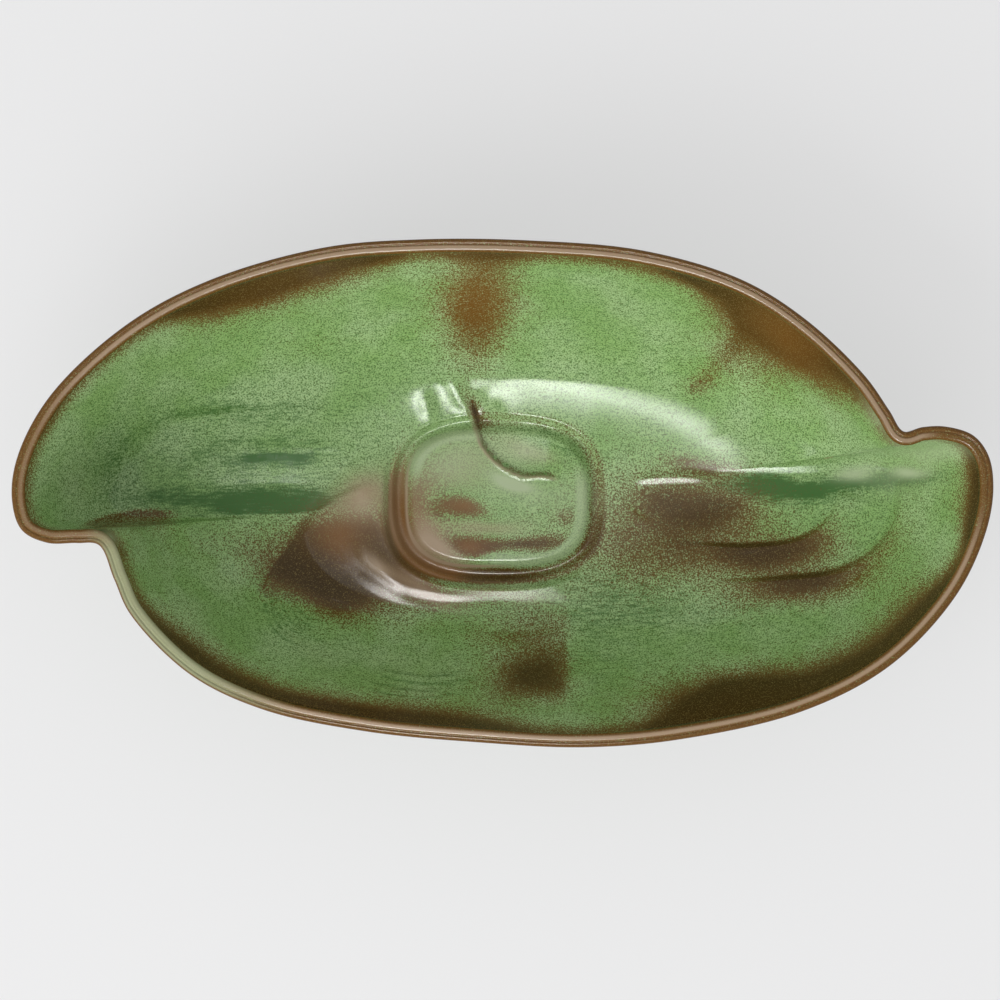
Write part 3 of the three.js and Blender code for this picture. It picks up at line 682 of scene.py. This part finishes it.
def relief(places, clear_of_pad):
    """Height of the sculpted lines over the plain floor and wall."""
    sharp = (TERRACE_HEIGHT, TERRACE_EDGE, TERRACE_FADE, TERRACE_ENDS)
    faint = (FAINT_HEIGHT, FAINT_EDGE, TERRACE_FADE, FAINT_ENDS)
    right = sum(lip(line, *sharp, places) for line in TERRACES)
    left = sum(lip(turned(line), *faint, places) for line in TERRACES)
    valleys = valley(FAR_VALLEY, places) + valley(NEAR_VALLEY, places)
    steps = sum(lip(*step, STEP_ENDS, places) for step in STEPS)
    ridges = sum(ridge(*mark, places) for mark in RIDGES + RIPPLES)
    wave = lip(WAVE, WAVE_HEIGHT, FAINT_EDGE, TERRACE_FADE, TERRACE_ENDS, places)
    folds = fold(PAD_CREASE, places) + wave
    return folds + collar(places) + clear_of_pad * (right + left + valleys + steps + ridges)


def pad_levels(plan):
    """Height of the pad and its groove over the floor."""
    past = length(plan - PAD_MIDDLE) - pad_radius(pad_angle, 0)
    bottom = GROOVE_WIDTH * GROOVE_BOTTOM
    depth = GROOVE_DEPTH - (GROOVE_DEPTH - GROOVE_SHALLOW) * toward(pad_angle, *SHALLOW_SIDE)
    crown = PAD_RISE - ((plan - PAD_TOP) ** 2 * PAD_BEND).sum(axis=-1) / 2
    out_share = np.clip((past - bottom) / (GROOVE_WIDTH - bottom), 0, 1)
    in_share = np.clip((past + PAD_ROUND) / (bottom + PAD_ROUND), 0, 1)
    climb_out = -depth * (1 + np.cos(math.pi * out_share)) / 2
    dip = crown - (crown + depth) * (1 - np.cos(math.pi * in_share)) / 2
    return np.where(past > bottom, climb_out, dip)


def raised(plan, levels):
    """Points of a plan, lifted to their levels."""
    return np.concatenate((plan, np.broadcast_to(levels, plan.shape[:2])[..., None]), axis=-1)


def climb(start, edge, end, levels, steps):
    """A sheet that runs from start to its edge and, rounding the bend there, up a wall to its end."""
    before, after = ease(-steps), ease(steps)
    plan = edge + before[:, None, None] * (start - edge) + after[:, None, None] * (end - edge)
    low, bend, high = levels
    share = 1 - before
    flat = (bend - low) * ((share + share**2) / 2)[:, None]
    return raised(plan, low + flat + wall_levels(after, edge, end, high - bend))


def inside():
    """The pad, the floor and the wall, up to the rim."""
    pad_plan = between(PAD_MIDDLE, groove_edge, PAD_ROWS)
    pad = raised(pad_plan, FLOOR_LEVEL + pad_levels(pad_plan))
    levels = (FLOOR_LEVEL, FLOOR_LEVEL + floor_rise, RIM_EDGE_LEVEL)
    surface = np.concatenate((pad, climb(groove_edge, floor_line, inner_rim, levels, CLIMB_ROWS)))
    on_pad = GROOVE_RELIEF * smooth(*RELIEF_FROM, PAD_ROWS)
    off_pad = GROOVE_RELIEF + (1 - GROOVE_RELIEF) * smooth(*RELIEF_FULL, CLIMB_ROWS)
    clear_of_pad = np.concatenate((on_pad, off_pad))
    clear_of_rim = np.concatenate((np.ones_like(PAD_ROWS), 1 - smooth(*RELIEF_OUT, CLIMB_ROWS)))
    surface[..., 2] += clear_of_rim[:, None] * relief(surface[..., :2], clear_of_pad[:, None])
    return surface


def over_rim():
    """The rounded inner edge, the flat top with a fine line in it, and the rounded outer edge."""
    near, top, far = (np.clip(RIM_ROWS * 3 - k, 0, 1) for k in range(3))
    quarter, far_quarter = near * math.pi / 2, far * math.pi / 2
    inset = RIM_WIDTH - RIM_ROUND * (1 - np.cos(quarter)) - (RIM_WIDTH - 2 * RIM_ROUND) * top
    inset = inset - RIM_ROUND * np.sin(far_quarter)
    level = HEIGHT + RIM_ROUND * (np.sin(quarter) - 1 + np.cos(far_quarter) - 1)
    level = level - RIM_LINE_DEPTH * bell(top - RIM_LINE_AT, RIM_LINE_WIDTH)
    return raised(outer_rim + inset[:, None, None] * rim_inward, level[:, None])


def outside():
    """The outer wall, the underside and the foot's fillet, down to the dry foot."""
    tilt = np.arctan(edge_slope)
    edge = floor_line + (WALL * np.sin(tilt))[:, None] * unit(outer_rim - floor_line)
    edge_level = FLOOR_LEVEL + floor_rise - WALL * np.cos(tilt)
    start = pad_points(pad_angle, FOOT_GROW + FOOT_FILLET)
    wall = climb(start, edge, outer_rim, (FOOT_HEIGHT, edge_level, RIM_EDGE_LEVEL), DESCENT_ROWS)
    turn = FOOT_ROWS[:, None] * math.pi / 2
    foot_plan = pad_points(pad_angle[None, :], FOOT_GROW + FOOT_FILLET * (1 - np.sin(turn)))
    foot = raised(foot_plan, FOOT_HEIGHT - (FOOT_HEIGHT - FOOT_DRY) * (1 - np.cos(turn)))
    return np.concatenate((wall, foot))


def normals(grid):
    """Outward normals of a grid of rings."""
    round_step = np.roll(grid, -1, axis=1) - np.roll(grid, 1, axis=1)
    row_step = np.gradient(grid, axis=0)
    return unit(np.cross(row_step, round_step))


def waves(marks, x, y):
    return sum(high * np.sin(along * x + across * y + phase) for along, across, phase, high in marks)


def sway(places, reach, size):
    """Slow uneven waves, to break up what is drawn too evenly: two values for each place."""
    x, y = places[..., 0] / reach, places[..., 1] / reach
    return size * np.stack((waves(SWAY_ALONG, x, y), waves(SWAY_ACROSS, x, y)), axis=-1)


def patches(marks, places):
    """Soft oval patches, added up."""
    places = places + sway(places, *PATCH_SWAY)
    amount = np.zeros(places.shape[:-1])
    for x, y, half_length, half_width, turn, strength in marks:
        offset = places - np.array((x, y)) * HALF_SIZE
        cos, sin = math.cos(math.radians(turn)), math.sin(math.radians(turn))
        along = (offset[..., 0] * cos + offset[..., 1] * sin) / half_length
        across = (offset[..., 1] * cos - offset[..., 0] * sin) / half_width
        amount += strength * np.exp(-(along**2 + across**2) * PATCH_FALL)
    return amount


def edged(lines, ends, places):
    """Paint that starts at lines and reaches a different way to their left and right."""
    amount = np.zeros(places.shape[:-1])
    for points, left_reach, right_reach, strength in lines:
        distance, share = nearest(points, places)
        near = bell(distance, np.where(distance > 0, left_reach, right_reach))
        amount += strength * near * fade_ends(share, *ends)
    return amount


def beside(points, off, half_width, strength, ends, places):
    """A fine line of paint that runs beside a sculpted line, off to its left."""
    distance, share = nearest(points, places)
    return strength * bell(distance - off, half_width) * fade_ends(share, *ends)


def in_groove(distance):
    """1 in the groove and 0 off it, by the distance outside it."""
    start, end = GROOVE_SOFTNESS
    return span((start - GROOVE_WIDTH, end - GROOVE_WIDTH), GROOVE_SOFTNESS, distance)


def pad_band(places):
    """A light band inside the pad's edge, at its right, its bottom and its upper left."""
    distance, angle = from_pad(places)
    sides = [toward(angle, *side) for side in BAND_SIDES]
    return span(BAND_IN, BAND_OUT, distance + GROOVE_WIDTH) * np.maximum(*sides)


def brown_inside(places):
    """Burnt patches and lines with some painted shade, the right lobe's terraces, partly painted shade, the
    groove and a line of painted shade under the crease.
    """
    terraces = [(line, *TERRACE_BROWN_AND_SHADE) for line in TERRACES]
    amount = patches(BROWN_AND_SHADE_PATCHES, places) + edged(BROWN_AND_SHADE_LINES, PAINT_ENDS, places)
    amount += edged(terraces, TERRACE_BROWN_ENDS, places)
    distance, angle = from_pad(places)
    more, less = toward(angle, *BROWN_SIDE), toward(angle, *GREEN_SIDE)
    amount += in_groove(distance) * (GROOVE_BROWN + GROOVE_BROWN_MORE * more - GROOVE_BROWN_LESS * less)
    amount *= 1 - BAND_BROWN_LESS * pad_band(places)
    return amount + beside(PAD_CREASE, *CREASE_SHADE, places)


def rust_inside(places):
    """Rusty patches, and the left side of the groove."""
    distance, angle = from_pad(places)
    return patches(RUST_PATCHES, places) + GROOVE_RUST * in_groove(distance) * toward(angle, *RUST_SIDE)


def teal_inside(places):
    """Pools, the left lobe's faint terraces and the troughs of the ripples."""
    faint = [(turned(line), *FAINT_TEAL) for line in TERRACES]
    amount = patches(TEAL_AND_SHADE_PATCHES, places) + edged(TEAL_LINES, PAINT_ENDS, places)
    amount += edged(faint, FAINT_TEAL_ENDS, places)
    for points, _, half_width in RIPPLES:
        distance, share = nearest(points, places)
        trough = bell(np.abs(distance) - half_width, TROUGH_WIDTH)
        amount += TROUGH_TEAL * trough * fade_ends(share, *RIDGE_ENDS)
    return amount


def tan_highlights_inside(places):
    """Pale tan patches, mostly painted highlights, and fine painted highlights along the crease and the
    left and lower edge of the pad.
    """
    distance, angle = from_pad(places)
    edge = bell(distance + GROOVE_WIDTH + PAD_LINE_INSET, PAD_LINE_WIDTH) * toward(angle, *PAD_HIGHLIGHT_SIDE)
    crease = beside(PAD_CREASE, *CREASE_HIGHLIGHT, places)
    return patches(TAN_AND_HIGHLIGHT_PATCHES, places) + crease + PAD_LINE_HIGHLIGHT * edge


def mint_and_highlights_inside(places):
    """Pale green spots, some of them painted highlights, and the light band inside the pad's edge."""
    return patches(MINT_AND_HIGHLIGHT_PATCHES, places) + BAND_MINT * pad_band(places)


# Tan is mostly painted highlight; some brown and teal are painted shade and some mint painted highlight
PAINTS = {
    "brown": brown_inside, "rust": rust_inside, "teal": teal_inside, "tan": tan_highlights_inside, "mint": mint_and_highlights_inside,
}


def paint_inside(amounts, surface):
    """Paints the inside of the bowl, with brown that runs down from the rim."""
    places = surface[:INSIDE_COUNT, :, :2]
    for name, paint in PAINTS.items():
        amounts[name][:INSIDE_COUNT] = paint(places)
    down = (1 - CLIMB_ROWS)[:, None] * length(inner_rim - floor_line)
    amounts["brown"][len(PAD_ROWS):INSIDE_COUNT] += bell(down, INSIDE_RUN)


def paint_rim(amounts):
    """Paints the rim brown, with a light tan line, partly a painted highlight, along most of it and pale
    green at its lower left.
    """
    rim = slice(INSIDE_COUNT, RIM_END)
    over = RIM_ROWS[:, None]
    x, y = (outer_rim / HALF_SIZE).T
    lower_left = smooth(*PALE_NEARWARD, -y) * span(*PALE_LEFTWARD, -x)
    right_tip = smooth(*TIP_RIGHTWARD, x) * smooth(*TIP_FARWARD, y)
    left_end = smooth(*END_LEFTWARD, -x) * smooth(*END_NEARWARD, -y)
    light = (1 - lower_left) * (1 - right_tip) * (1 - LEFT_END_DIM * left_end)
    amounts["brown"][rim] = RIM_BROWN + RIM_EDGE_BROWN * (1 - span(*PLAIN_TOP, over))
    amounts["rust"][rim] = RIM_RUST
    amounts["mint"][rim] = RIM_MINT * span(*PALE_TOP, over) * lower_left
    amounts["tan"][rim] = RIM_TAN_AND_HIGHLIGHT * span(*LIGHT_LINE, over) * light


def paint_outside(amounts, surface):
    """Paints the outside with drifts of brown and blue green, and brown that runs down from the rim."""
    x, y, z = np.moveaxis(surface[RIM_END:], -1, 0)
    drift = sway(np.stack((x, y + z), axis=-1), *OUTSIDE_SWAY)
    amounts["brown"][RIM_END:] = OUTSIDE_BROWN + OUTSIDE_BROWN_DRIFT * drift[..., 0]
    amounts["teal"][RIM_END:] = OUTSIDE_TEAL_DRIFT * drift[..., 1]
    drop = (1 - DESCENT_ROWS)[:, None] * length(outer_rim - floor_line)
    amounts["brown"][RIM_END:WALL_END] += bell(drop, OUTSIDE_RUN)


def painted(surface):
    """Amounts of each colour over the glazed surface, a row of values for each ring."""
    amounts = {name: np.zeros(surface.shape[:2]) for name in PAINTS}
    paint_inside(amounts, surface)
    paint_rim(amounts)
    paint_outside(amounts, surface)
    return amounts


def placed(name, data):
    thing = bpy.data.objects.new(name, data)
    bpy.context.collection.objects.link(thing)
    return thing


def rings_mesh(name, rings, start, end):
    """A closed mesh of rings, with a point before the first ring and one after the last."""
    rows, columns = rings.shape[:2]
    points = np.concatenate((rings.reshape(-1, 3), [start, end]))
    count = rows * columns
    here = np.arange(count).reshape(rows, columns)
    after = np.roll(here, -1, axis=1)
    faces = np.stack((here[:-1], here[1:], after[1:], after[:-1]), axis=-1).reshape(-1, 4).tolist()
    faces += [(count, a, b) for a, b in zip(here[0].tolist(), after[0].tolist())]
    faces += [(count + 1, b, a) for a, b in zip(here[-1].tolist(), after[-1].tolist())]
    mesh = bpy.data.meshes.new(name)
    mesh.from_pydata((points * MM).tolist(), [], faces)
    mesh.shade_smooth()
    return placed(name, mesh)


def set_amounts(piece, amounts):
    """Stores painted amounts on a mesh, for its material; points that have none get 0."""
    for name, values in amounts.items():
        layer = piece.data.attributes.new(name, "FLOAT", "POINT")
        padded = np.zeros(len(piece.data.vertices), dtype=np.float32)
        padded[: values.size] = np.clip(values, 0, MOST_PAINT).ravel()
        layer.data.foreach_set("value", padded)


class Nodes:
    """Builds a material's nodes. An input is a value, or the output of another node."""

    def __init__(self, name):
        self.material = bpy.data.materials.new(name)
        self.material.use_nodes = True
        self.tree = self.material.node_tree
        self.shader = self.tree.nodes["Principled BSDF"]

    def put(self, socket, value):
        if isinstance(value, bpy.types.NodeSocket):
            self.tree.links.new(value, socket)
        else:
            socket.default_value = value

    def add(self, kind, inputs, output=0, **settings):
        node = self.tree.nodes.new(kind)
        for key, value in settings.items():
            setattr(node, key, value)
        for key, value in inputs.items():
            self.put(node.inputs[key], value)
        return node.outputs[output]

    def amount(self, name):
        return self.add("ShaderNodeAttribute", {}, "Fac", attribute_name=name)

    def noise(self, size, detail, stretch=1):
        """Noise from 0 to 1 with grains about size mm across, drawn out along the bowl by a stretch."""
        where = self.add("ShaderNodeTexCoord", {}, "Object")
        if stretch != 1:
            squeeze = (1 / stretch, 1, 1)
            where = self.add("ShaderNodeVectorMath", {0: where, 1: squeeze}, operation="MULTIPLY")
        return self.add("ShaderNodeTexNoise", {"Vector": where, "Scale": 1 / (size * MM), "Detail": detail})

    def math(self, operation, a, b):
        return self.add("ShaderNodeMath", {0: a, 1: b}, operation=operation)

    def weighted(self, a, a_weight, b, b_weight):
        """The sum of two values, each times its weight."""
        return self.math("ADD", self.math("MULTIPLY", a, a_weight), self.math("MULTIPLY", b, b_weight))

    def ramp(self, value, start, end, low=0.0, high=1.0):
        inputs = {"Value": value, "From Min": start, "From Max": end, "To Min": low, "To Max": high}
        return self.add("ShaderNodeMapRange", inputs, interpolation_type="SMOOTHSTEP")

    def mix(self, factor, a, b):
        node = self.tree.nodes.new("ShaderNodeMix")
        node.data_type = "RGBA"
        for key, value in (("Factor_Float", factor), ("A_Color", a), ("B_Color", b)):
            socket = next(s for s in node.inputs if s.identifier == key)
            self.put(socket, value)
        return next(s for s in node.outputs if s.identifier == "Result_Color")

    def bump(self, height, strength, distance):
        inputs = {"Strength": strength, "Distance": distance * MM, "Height": height}
        return self.add("ShaderNodeBump", inputs)

    def finish(self, **inputs):
        for key, value in inputs.items():
            self.put(self.shader.inputs[key.replace("_", " ")], value)
        return self.material


# Colours
GREEN = (0.245, 0.4, 0.135, 1)
LIGHT_GREEN = (0.34, 0.48, 0.225, 1)
DARK_GREEN = (0.06, 0.14, 0.03, 1)
TEAL = (0.045, 0.125, 0.026, 1)
BROWN = (0.1, 0.053, 0.011, 1)
DARK_BROWN = (0.044, 0.024, 0.0038, 1)
RUST = (0.17, 0.068, 0.01, 1)
SPECK = (0.22, 0.155, 0.05, 1)
# Tan: the rim's tan glaze, and painted highlights of gloss on the pad, the mound, the crease and the pad's
# edge
TAN = (0.345, 0.25, 0.165, 1)
# Mint: pale green glaze, and some painted highlights of gloss
MINT = (0.36, 0.43, 0.26, 1)
CLAY = (0.4, 0.22, 0.11, 1)
LIGHT_CLAY = (0.52, 0.31, 0.16, 1)
DARK_CLAY = (0.25, 0.13, 0.06, 1)
GROUND = (0.24, 0.24, 0.244, 1)
WHITE = (1, 1, 1, 1)

# Grains: size, detail and, for streaks, how far they are drawn out
FINE = (0.5, 2.0)
GRAIN = (2.2, 3.0)
CLOUD = (24, 3.0)
STREAK = (0.8, 2.0, 12)
SPECKLE = (0.42, 2.0)
CLAY_FINE = (0.4, 2.0)
CLAY_CLOUD = (9, 2.0)

# Values between which a colour takes over, and its shares there if they are not 0 and 1
LIGHT_GREEN_FROM = (0.34, 0.68)
DARK_GREEN_FROM = (0.4, 0.68, 0.0, 0.9)
TEAL_FROM = (1.35, 2.75)
BROWN_FROM = (1.85, 2.95)
DARK_BROWN_FROM = (1.3, 2.2)
SPECK_FROM = (0.52, 0.7, 0.0, 0.6)
LIGHT_CLAY_FROM = (0.35, 0.65)
DARK_CLAY_FROM = (0.55, 0.7, 0.0, 0.6)

# How strongly grains break up the painted amounts
TEAL_BY_FINE, TEAL_BY_STREAK = 0.9, 2.0
BROWN_BY_FINE, BROWN_BY_GRAIN = 2.8, 0.5
DARK_BROWN_BY_CLOUD = 0.6

# Surfaces. A bump has a strength and a height
GLAZE_ROUGHNESS = (0.3, 0.7, 0.1, 0.17)  # two values of the grain, and the roughness at each
GLAZE_SPECULAR = 0.22
GLAZE_BUMP = (0.14, 0.1)
CLAY_ROUGHNESS = 0.85
CLAY_BUMP = (0.4, 0.15)
GROUND_ROUGHNESS = 0.9
GROUND_GLOW = 0.53


def glaze_material():
    """Green in clouds with a dark grain, and the painted colours over it, broken up by grains."""
    make = Nodes("green_brown_glaze")
    fine, grain, cloud, streak = (make.noise(*marks) for marks in (FINE, GRAIN, CLOUD, STREAK))
    green = make.mix(make.ramp(cloud, *LIGHT_GREEN_FROM), GREEN, LIGHT_GREEN)
    green = make.mix(make.ramp(fine, *DARK_GREEN_FROM), green, DARK_GREEN)
    grains = make.weighted(fine, TEAL_BY_FINE, streak, TEAL_BY_STREAK)
    pooled = make.math("ADD", make.amount("teal"), grains)
    green = make.mix(make.ramp(pooled, *TEAL_FROM), green, TEAL)
    level = make.amount("brown")
    burnt = make.math("ADD", level, make.math("MULTIPLY", cloud, DARK_BROWN_BY_CLOUD))
    brown = make.mix(make.ramp(burnt, *DARK_BROWN_FROM), BROWN, DARK_BROWN)
    brown = make.mix(make.amount("rust"), brown, RUST)
    brown = make.mix(make.ramp(make.noise(*SPECKLE), *SPECK_FROM), brown, SPECK)
    scattered = make.math("ADD", level, make.weighted(fine, BROWN_BY_FINE, grain, BROWN_BY_GRAIN))
    color = make.mix(make.ramp(scattered, *BROWN_FROM), green, brown)
    # Tan and mint lay on the painted highlights along with the pale glaze colours
    color = make.mix(make.amount("tan"), color, TAN)
    color = make.mix(make.amount("mint"), color, MINT)
    bump = make.bump(fine, *GLAZE_BUMP)
    roughness = make.ramp(grain, *GLAZE_ROUGHNESS)
    return make.finish(
        Base_Color=color, Roughness=roughness, Specular_IOR_Level=GLAZE_SPECULAR, Normal=bump
    )


def clay_material():
    """Dry fired clay with dark specks."""
    make = Nodes("bare_clay")
    fine, cloud = make.noise(*CLAY_FINE), make.noise(*CLAY_CLOUD)
    color = make.mix(make.ramp(cloud, *LIGHT_CLAY_FROM), CLAY, LIGHT_CLAY)
    color = make.mix(make.ramp(fine, *DARK_CLAY_FROM), color, DARK_CLAY)
    return make.finish(Base_Color=color, Roughness=CLAY_ROUGHNESS, Normal=make.bump(fine, *CLAY_BUMP))


def floor_material():
    """A plain pale floor whose shadows are softened where the camera or a gloss sees them."""
    make = Nodes("floor")
    seen = make.add("ShaderNodeLightPath", {}, "Is Camera Ray")
    mirrored = make.add("ShaderNodeLightPath", {}, "Is Glossy Ray")
    glow = make.math("MULTIPLY", make.math("MAXIMUM", seen, mirrored), GROUND_GLOW)
    return make.finish(
        Base_Color=GROUND, Roughness=GROUND_ROUGHNESS, Emission_Color=WHITE, Emission_Strength=glow
    )


def add_piece(piece, node, material):
    piece.data.materials.append(material)
    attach(piece, "root")
    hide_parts(node)


# The glaze: its outer face, closed by a hidden face under it
glazed = np.concatenate((inside(), over_rim(), outside()))
inward = -normals(glazed)
hidden = np.append(np.arange(0, len(glazed) - 1, HIDDEN_ROW_STEP), len(glazed) - 1)
glaze_back = (glazed + GLAZE * inward)[hidden]
glaze_rings = np.concatenate((glazed, glaze_back[::-1]))
glaze = rings_mesh("bowl_glaze", glaze_rings, glazed[0].mean(axis=0), glaze_back[0].mean(axis=0))
set_amounts(glaze, painted(glazed))
green_brown = glaze_material()
add_piece(glaze, "glaze_coat", green_brown)


def foot_rings():
    """The bare foot ring: down its outer side, across its bottom and up into the recess."""
    outer_grow = FOOT_GROW - GLAZE
    outer_bottom = outer_grow - FOOT_DRAFT / 2
    recess_grow = outer_grow - FOOT_WIDTH
    bevel = FOOT_ROUND / 3
    profile = [
        (outer_grow, FOOT_DRY),
        (outer_bottom, FOOT_ROUND),
        (outer_bottom - bevel, bevel),
        (outer_bottom - FOOT_ROUND, 0),
        (recess_grow + FOOT_ROUND, 0),
        (recess_grow + bevel, bevel),
        (recess_grow, FOOT_ROUND),
        (recess_grow - FOOT_DRAFT, FOOT_HEIGHT - FOOT_ROUND),
        (recess_grow - FOOT_DRAFT - FOOT_ROUND, FOOT_HEIGHT),
    ]
    grow, levels = np.array(profile).T[..., None]
    return raised(pad_points(pad_angle[None, :], grow), levels)


# The clay under it, of which only the foot ring shows
clay_face = (glazed + CLAY_GAP * inward)[hidden]
recess_middle = (*PAD_MIDDLE, FOOT_HEIGHT)
clay = rings_mesh(
    "bowl_clay", np.concatenate((clay_face, foot_rings())), clay_face[0].mean(axis=0), recess_middle
)
add_piece(clay, "clay_body", clay_material())


def recess_rings():
    """The patch of glaze on the recess ceiling: out along its top, round its edge and back under it."""
    grow = FOOT_GROW - GLAZE - FOOT_WIDTH - FOOT_DRAFT - RECESS_BARE
    edge = pad_points(pad_angle, grow)
    turn = np.linspace(0, math.pi, RECESS_EDGE_ROWS)
    shares = np.concatenate((
        np.linspace(RECESS_INNER, RECESS_OUTER, RECESS_TOP_ROWS),
        1 - RECESS_ROUND + RECESS_ROUND * np.sin(turn),
        np.linspace(RECESS_OUTER, RECESS_INNER, RECESS_FACE_ROWS),
    ))
    levels = np.concatenate((np.ones(RECESS_TOP_ROWS), (1 + np.cos(turn)) / 2, np.zeros(RECESS_FACE_ROWS)))
    return raised(between(PAD_MIDDLE, edge, shares), FOOT_HEIGHT - GLAZE * (1 - levels[:, None]))


recess_bottom = (*PAD_MIDDLE, FOOT_HEIGHT - GLAZE)
recess = rings_mesh("recess_glaze", recess_rings(), recess_middle, recess_bottom)
add_piece(recess, "foot_recess_glaze", green_brown)

# Floor under the bowl
GROUND_SIZE = 6  # metres
GROUND_GAP = 0.05 * MM  # keeps the floor from lying in the face of the foot ring
bpy.ops.mesh.primitive_plane_add(size=GROUND_SIZE, location=(0, 0, -GROUND_GAP))
floor = bpy.context.object
floor.name = "floor"
floor.data.materials.append(floor_material())


def area_light(name, place, aim, size, power):
    """A rectangular lamp, placed and sized in metres."""
    light = bpy.data.lights.new(name, "AREA")
    light.shape = "RECTANGLE"
    light.size, light.size_y = size
    light.energy = power
    lamp = placed(name, light)
    lamp.location = place
    lamp.rotation_euler = (Vector(aim) - lamp.location).to_track_quat("-Z", "Y").to_euler()
    return lamp


def fade_light(light, fades):
    """Fades a lamp's face. A fade has an axis, where on it the light is least and full, and the least."""
    light.use_nodes = True
    tree = light.node_tree
    where = tree.nodes.new("ShaderNodeNewGeometry").outputs["Parametric"]
    split = tree.nodes.new("ShaderNodeSeparateXYZ")
    tree.links.new(where, split.inputs[0])
    share = tree.nodes.new("ShaderNodeValue").outputs[0]
    share.default_value = 1
    for axis, start, end, low in fades:
        ramp = tree.nodes.new("ShaderNodeMapRange")
        tree.links.new(split.outputs[axis], ramp.inputs["Value"])
        for key, value in (("From Min", start), ("From Max", end), ("To Min", low)):
            ramp.inputs[key].default_value = value
        product = tree.nodes.new("ShaderNodeMath")
        product.operation = "MULTIPLY"
        tree.links.new(ramp.outputs[0], product.inputs[0])
        tree.links.new(share, product.inputs[1])
        share = product.outputs[0]
    tree.links.new(share, tree.nodes["Emission"].inputs["Strength"])


# Light: a softbox that only gloss shows, a panel that gloss does not show, a window and the world
SOFTBOX_OVER = (-0.075, -0.26)
SOFTBOX_FADES = [("X", 0.0, 0.45, 0.0), ("X", 1.0, 0.68, 0.0), ("Y", 0.71, 0.5, 0.035)]
BOWL_MIDDLE = (0, 0, 0.05)
WORLD_LIGHT = 0.74
softbox = area_light(
    "softbox", place=(*SOFTBOX_OVER, 1.0), aim=(*SOFTBOX_OVER, 0), size=(0.31, 0.68), power=23
)
softbox.visible_diffuse = False
fade_light(softbox.data, SOFTBOX_FADES)
panel = area_light("panel", place=(-1.0, -1.35, 1.35), aim=BOWL_MIDDLE, size=(2.6, 1.3), power=38)
panel.visible_glossy = False
area_light("window", place=(-1.3, -0.7, 0.5), aim=BOWL_MIDDLE, size=(0.5, 0.5), power=2)

world = bpy.data.worlds.new("studio")
bpy.context.scene.world = world
world.use_nodes = True
background = world.node_tree.nodes["Background"]
background.inputs["Color"].default_value = WHITE
background.inputs["Strength"].default_value = WORLD_LIGHT

# Camera, straight above the bowl
CAMERA_HEIGHT = 2.4
FRAME_WIDTH = 335.7 * MM  # what the frame takes in at the height of the rim
FRAME_MIDDLE = (-0.84 * MM, -2.35 * MM)
lens = bpy.data.cameras.new("camera")
lens.lens = lens.sensor_width * (CAMERA_HEIGHT - HEIGHT * MM) / FRAME_WIDTH
camera = placed("camera", lens)
camera.location = (*FRAME_MIDDLE, CAMERA_HEIGHT)
bpy.context.scene.camera = camera
bpy.context.scene.view_settings.view_transform = "Standard"
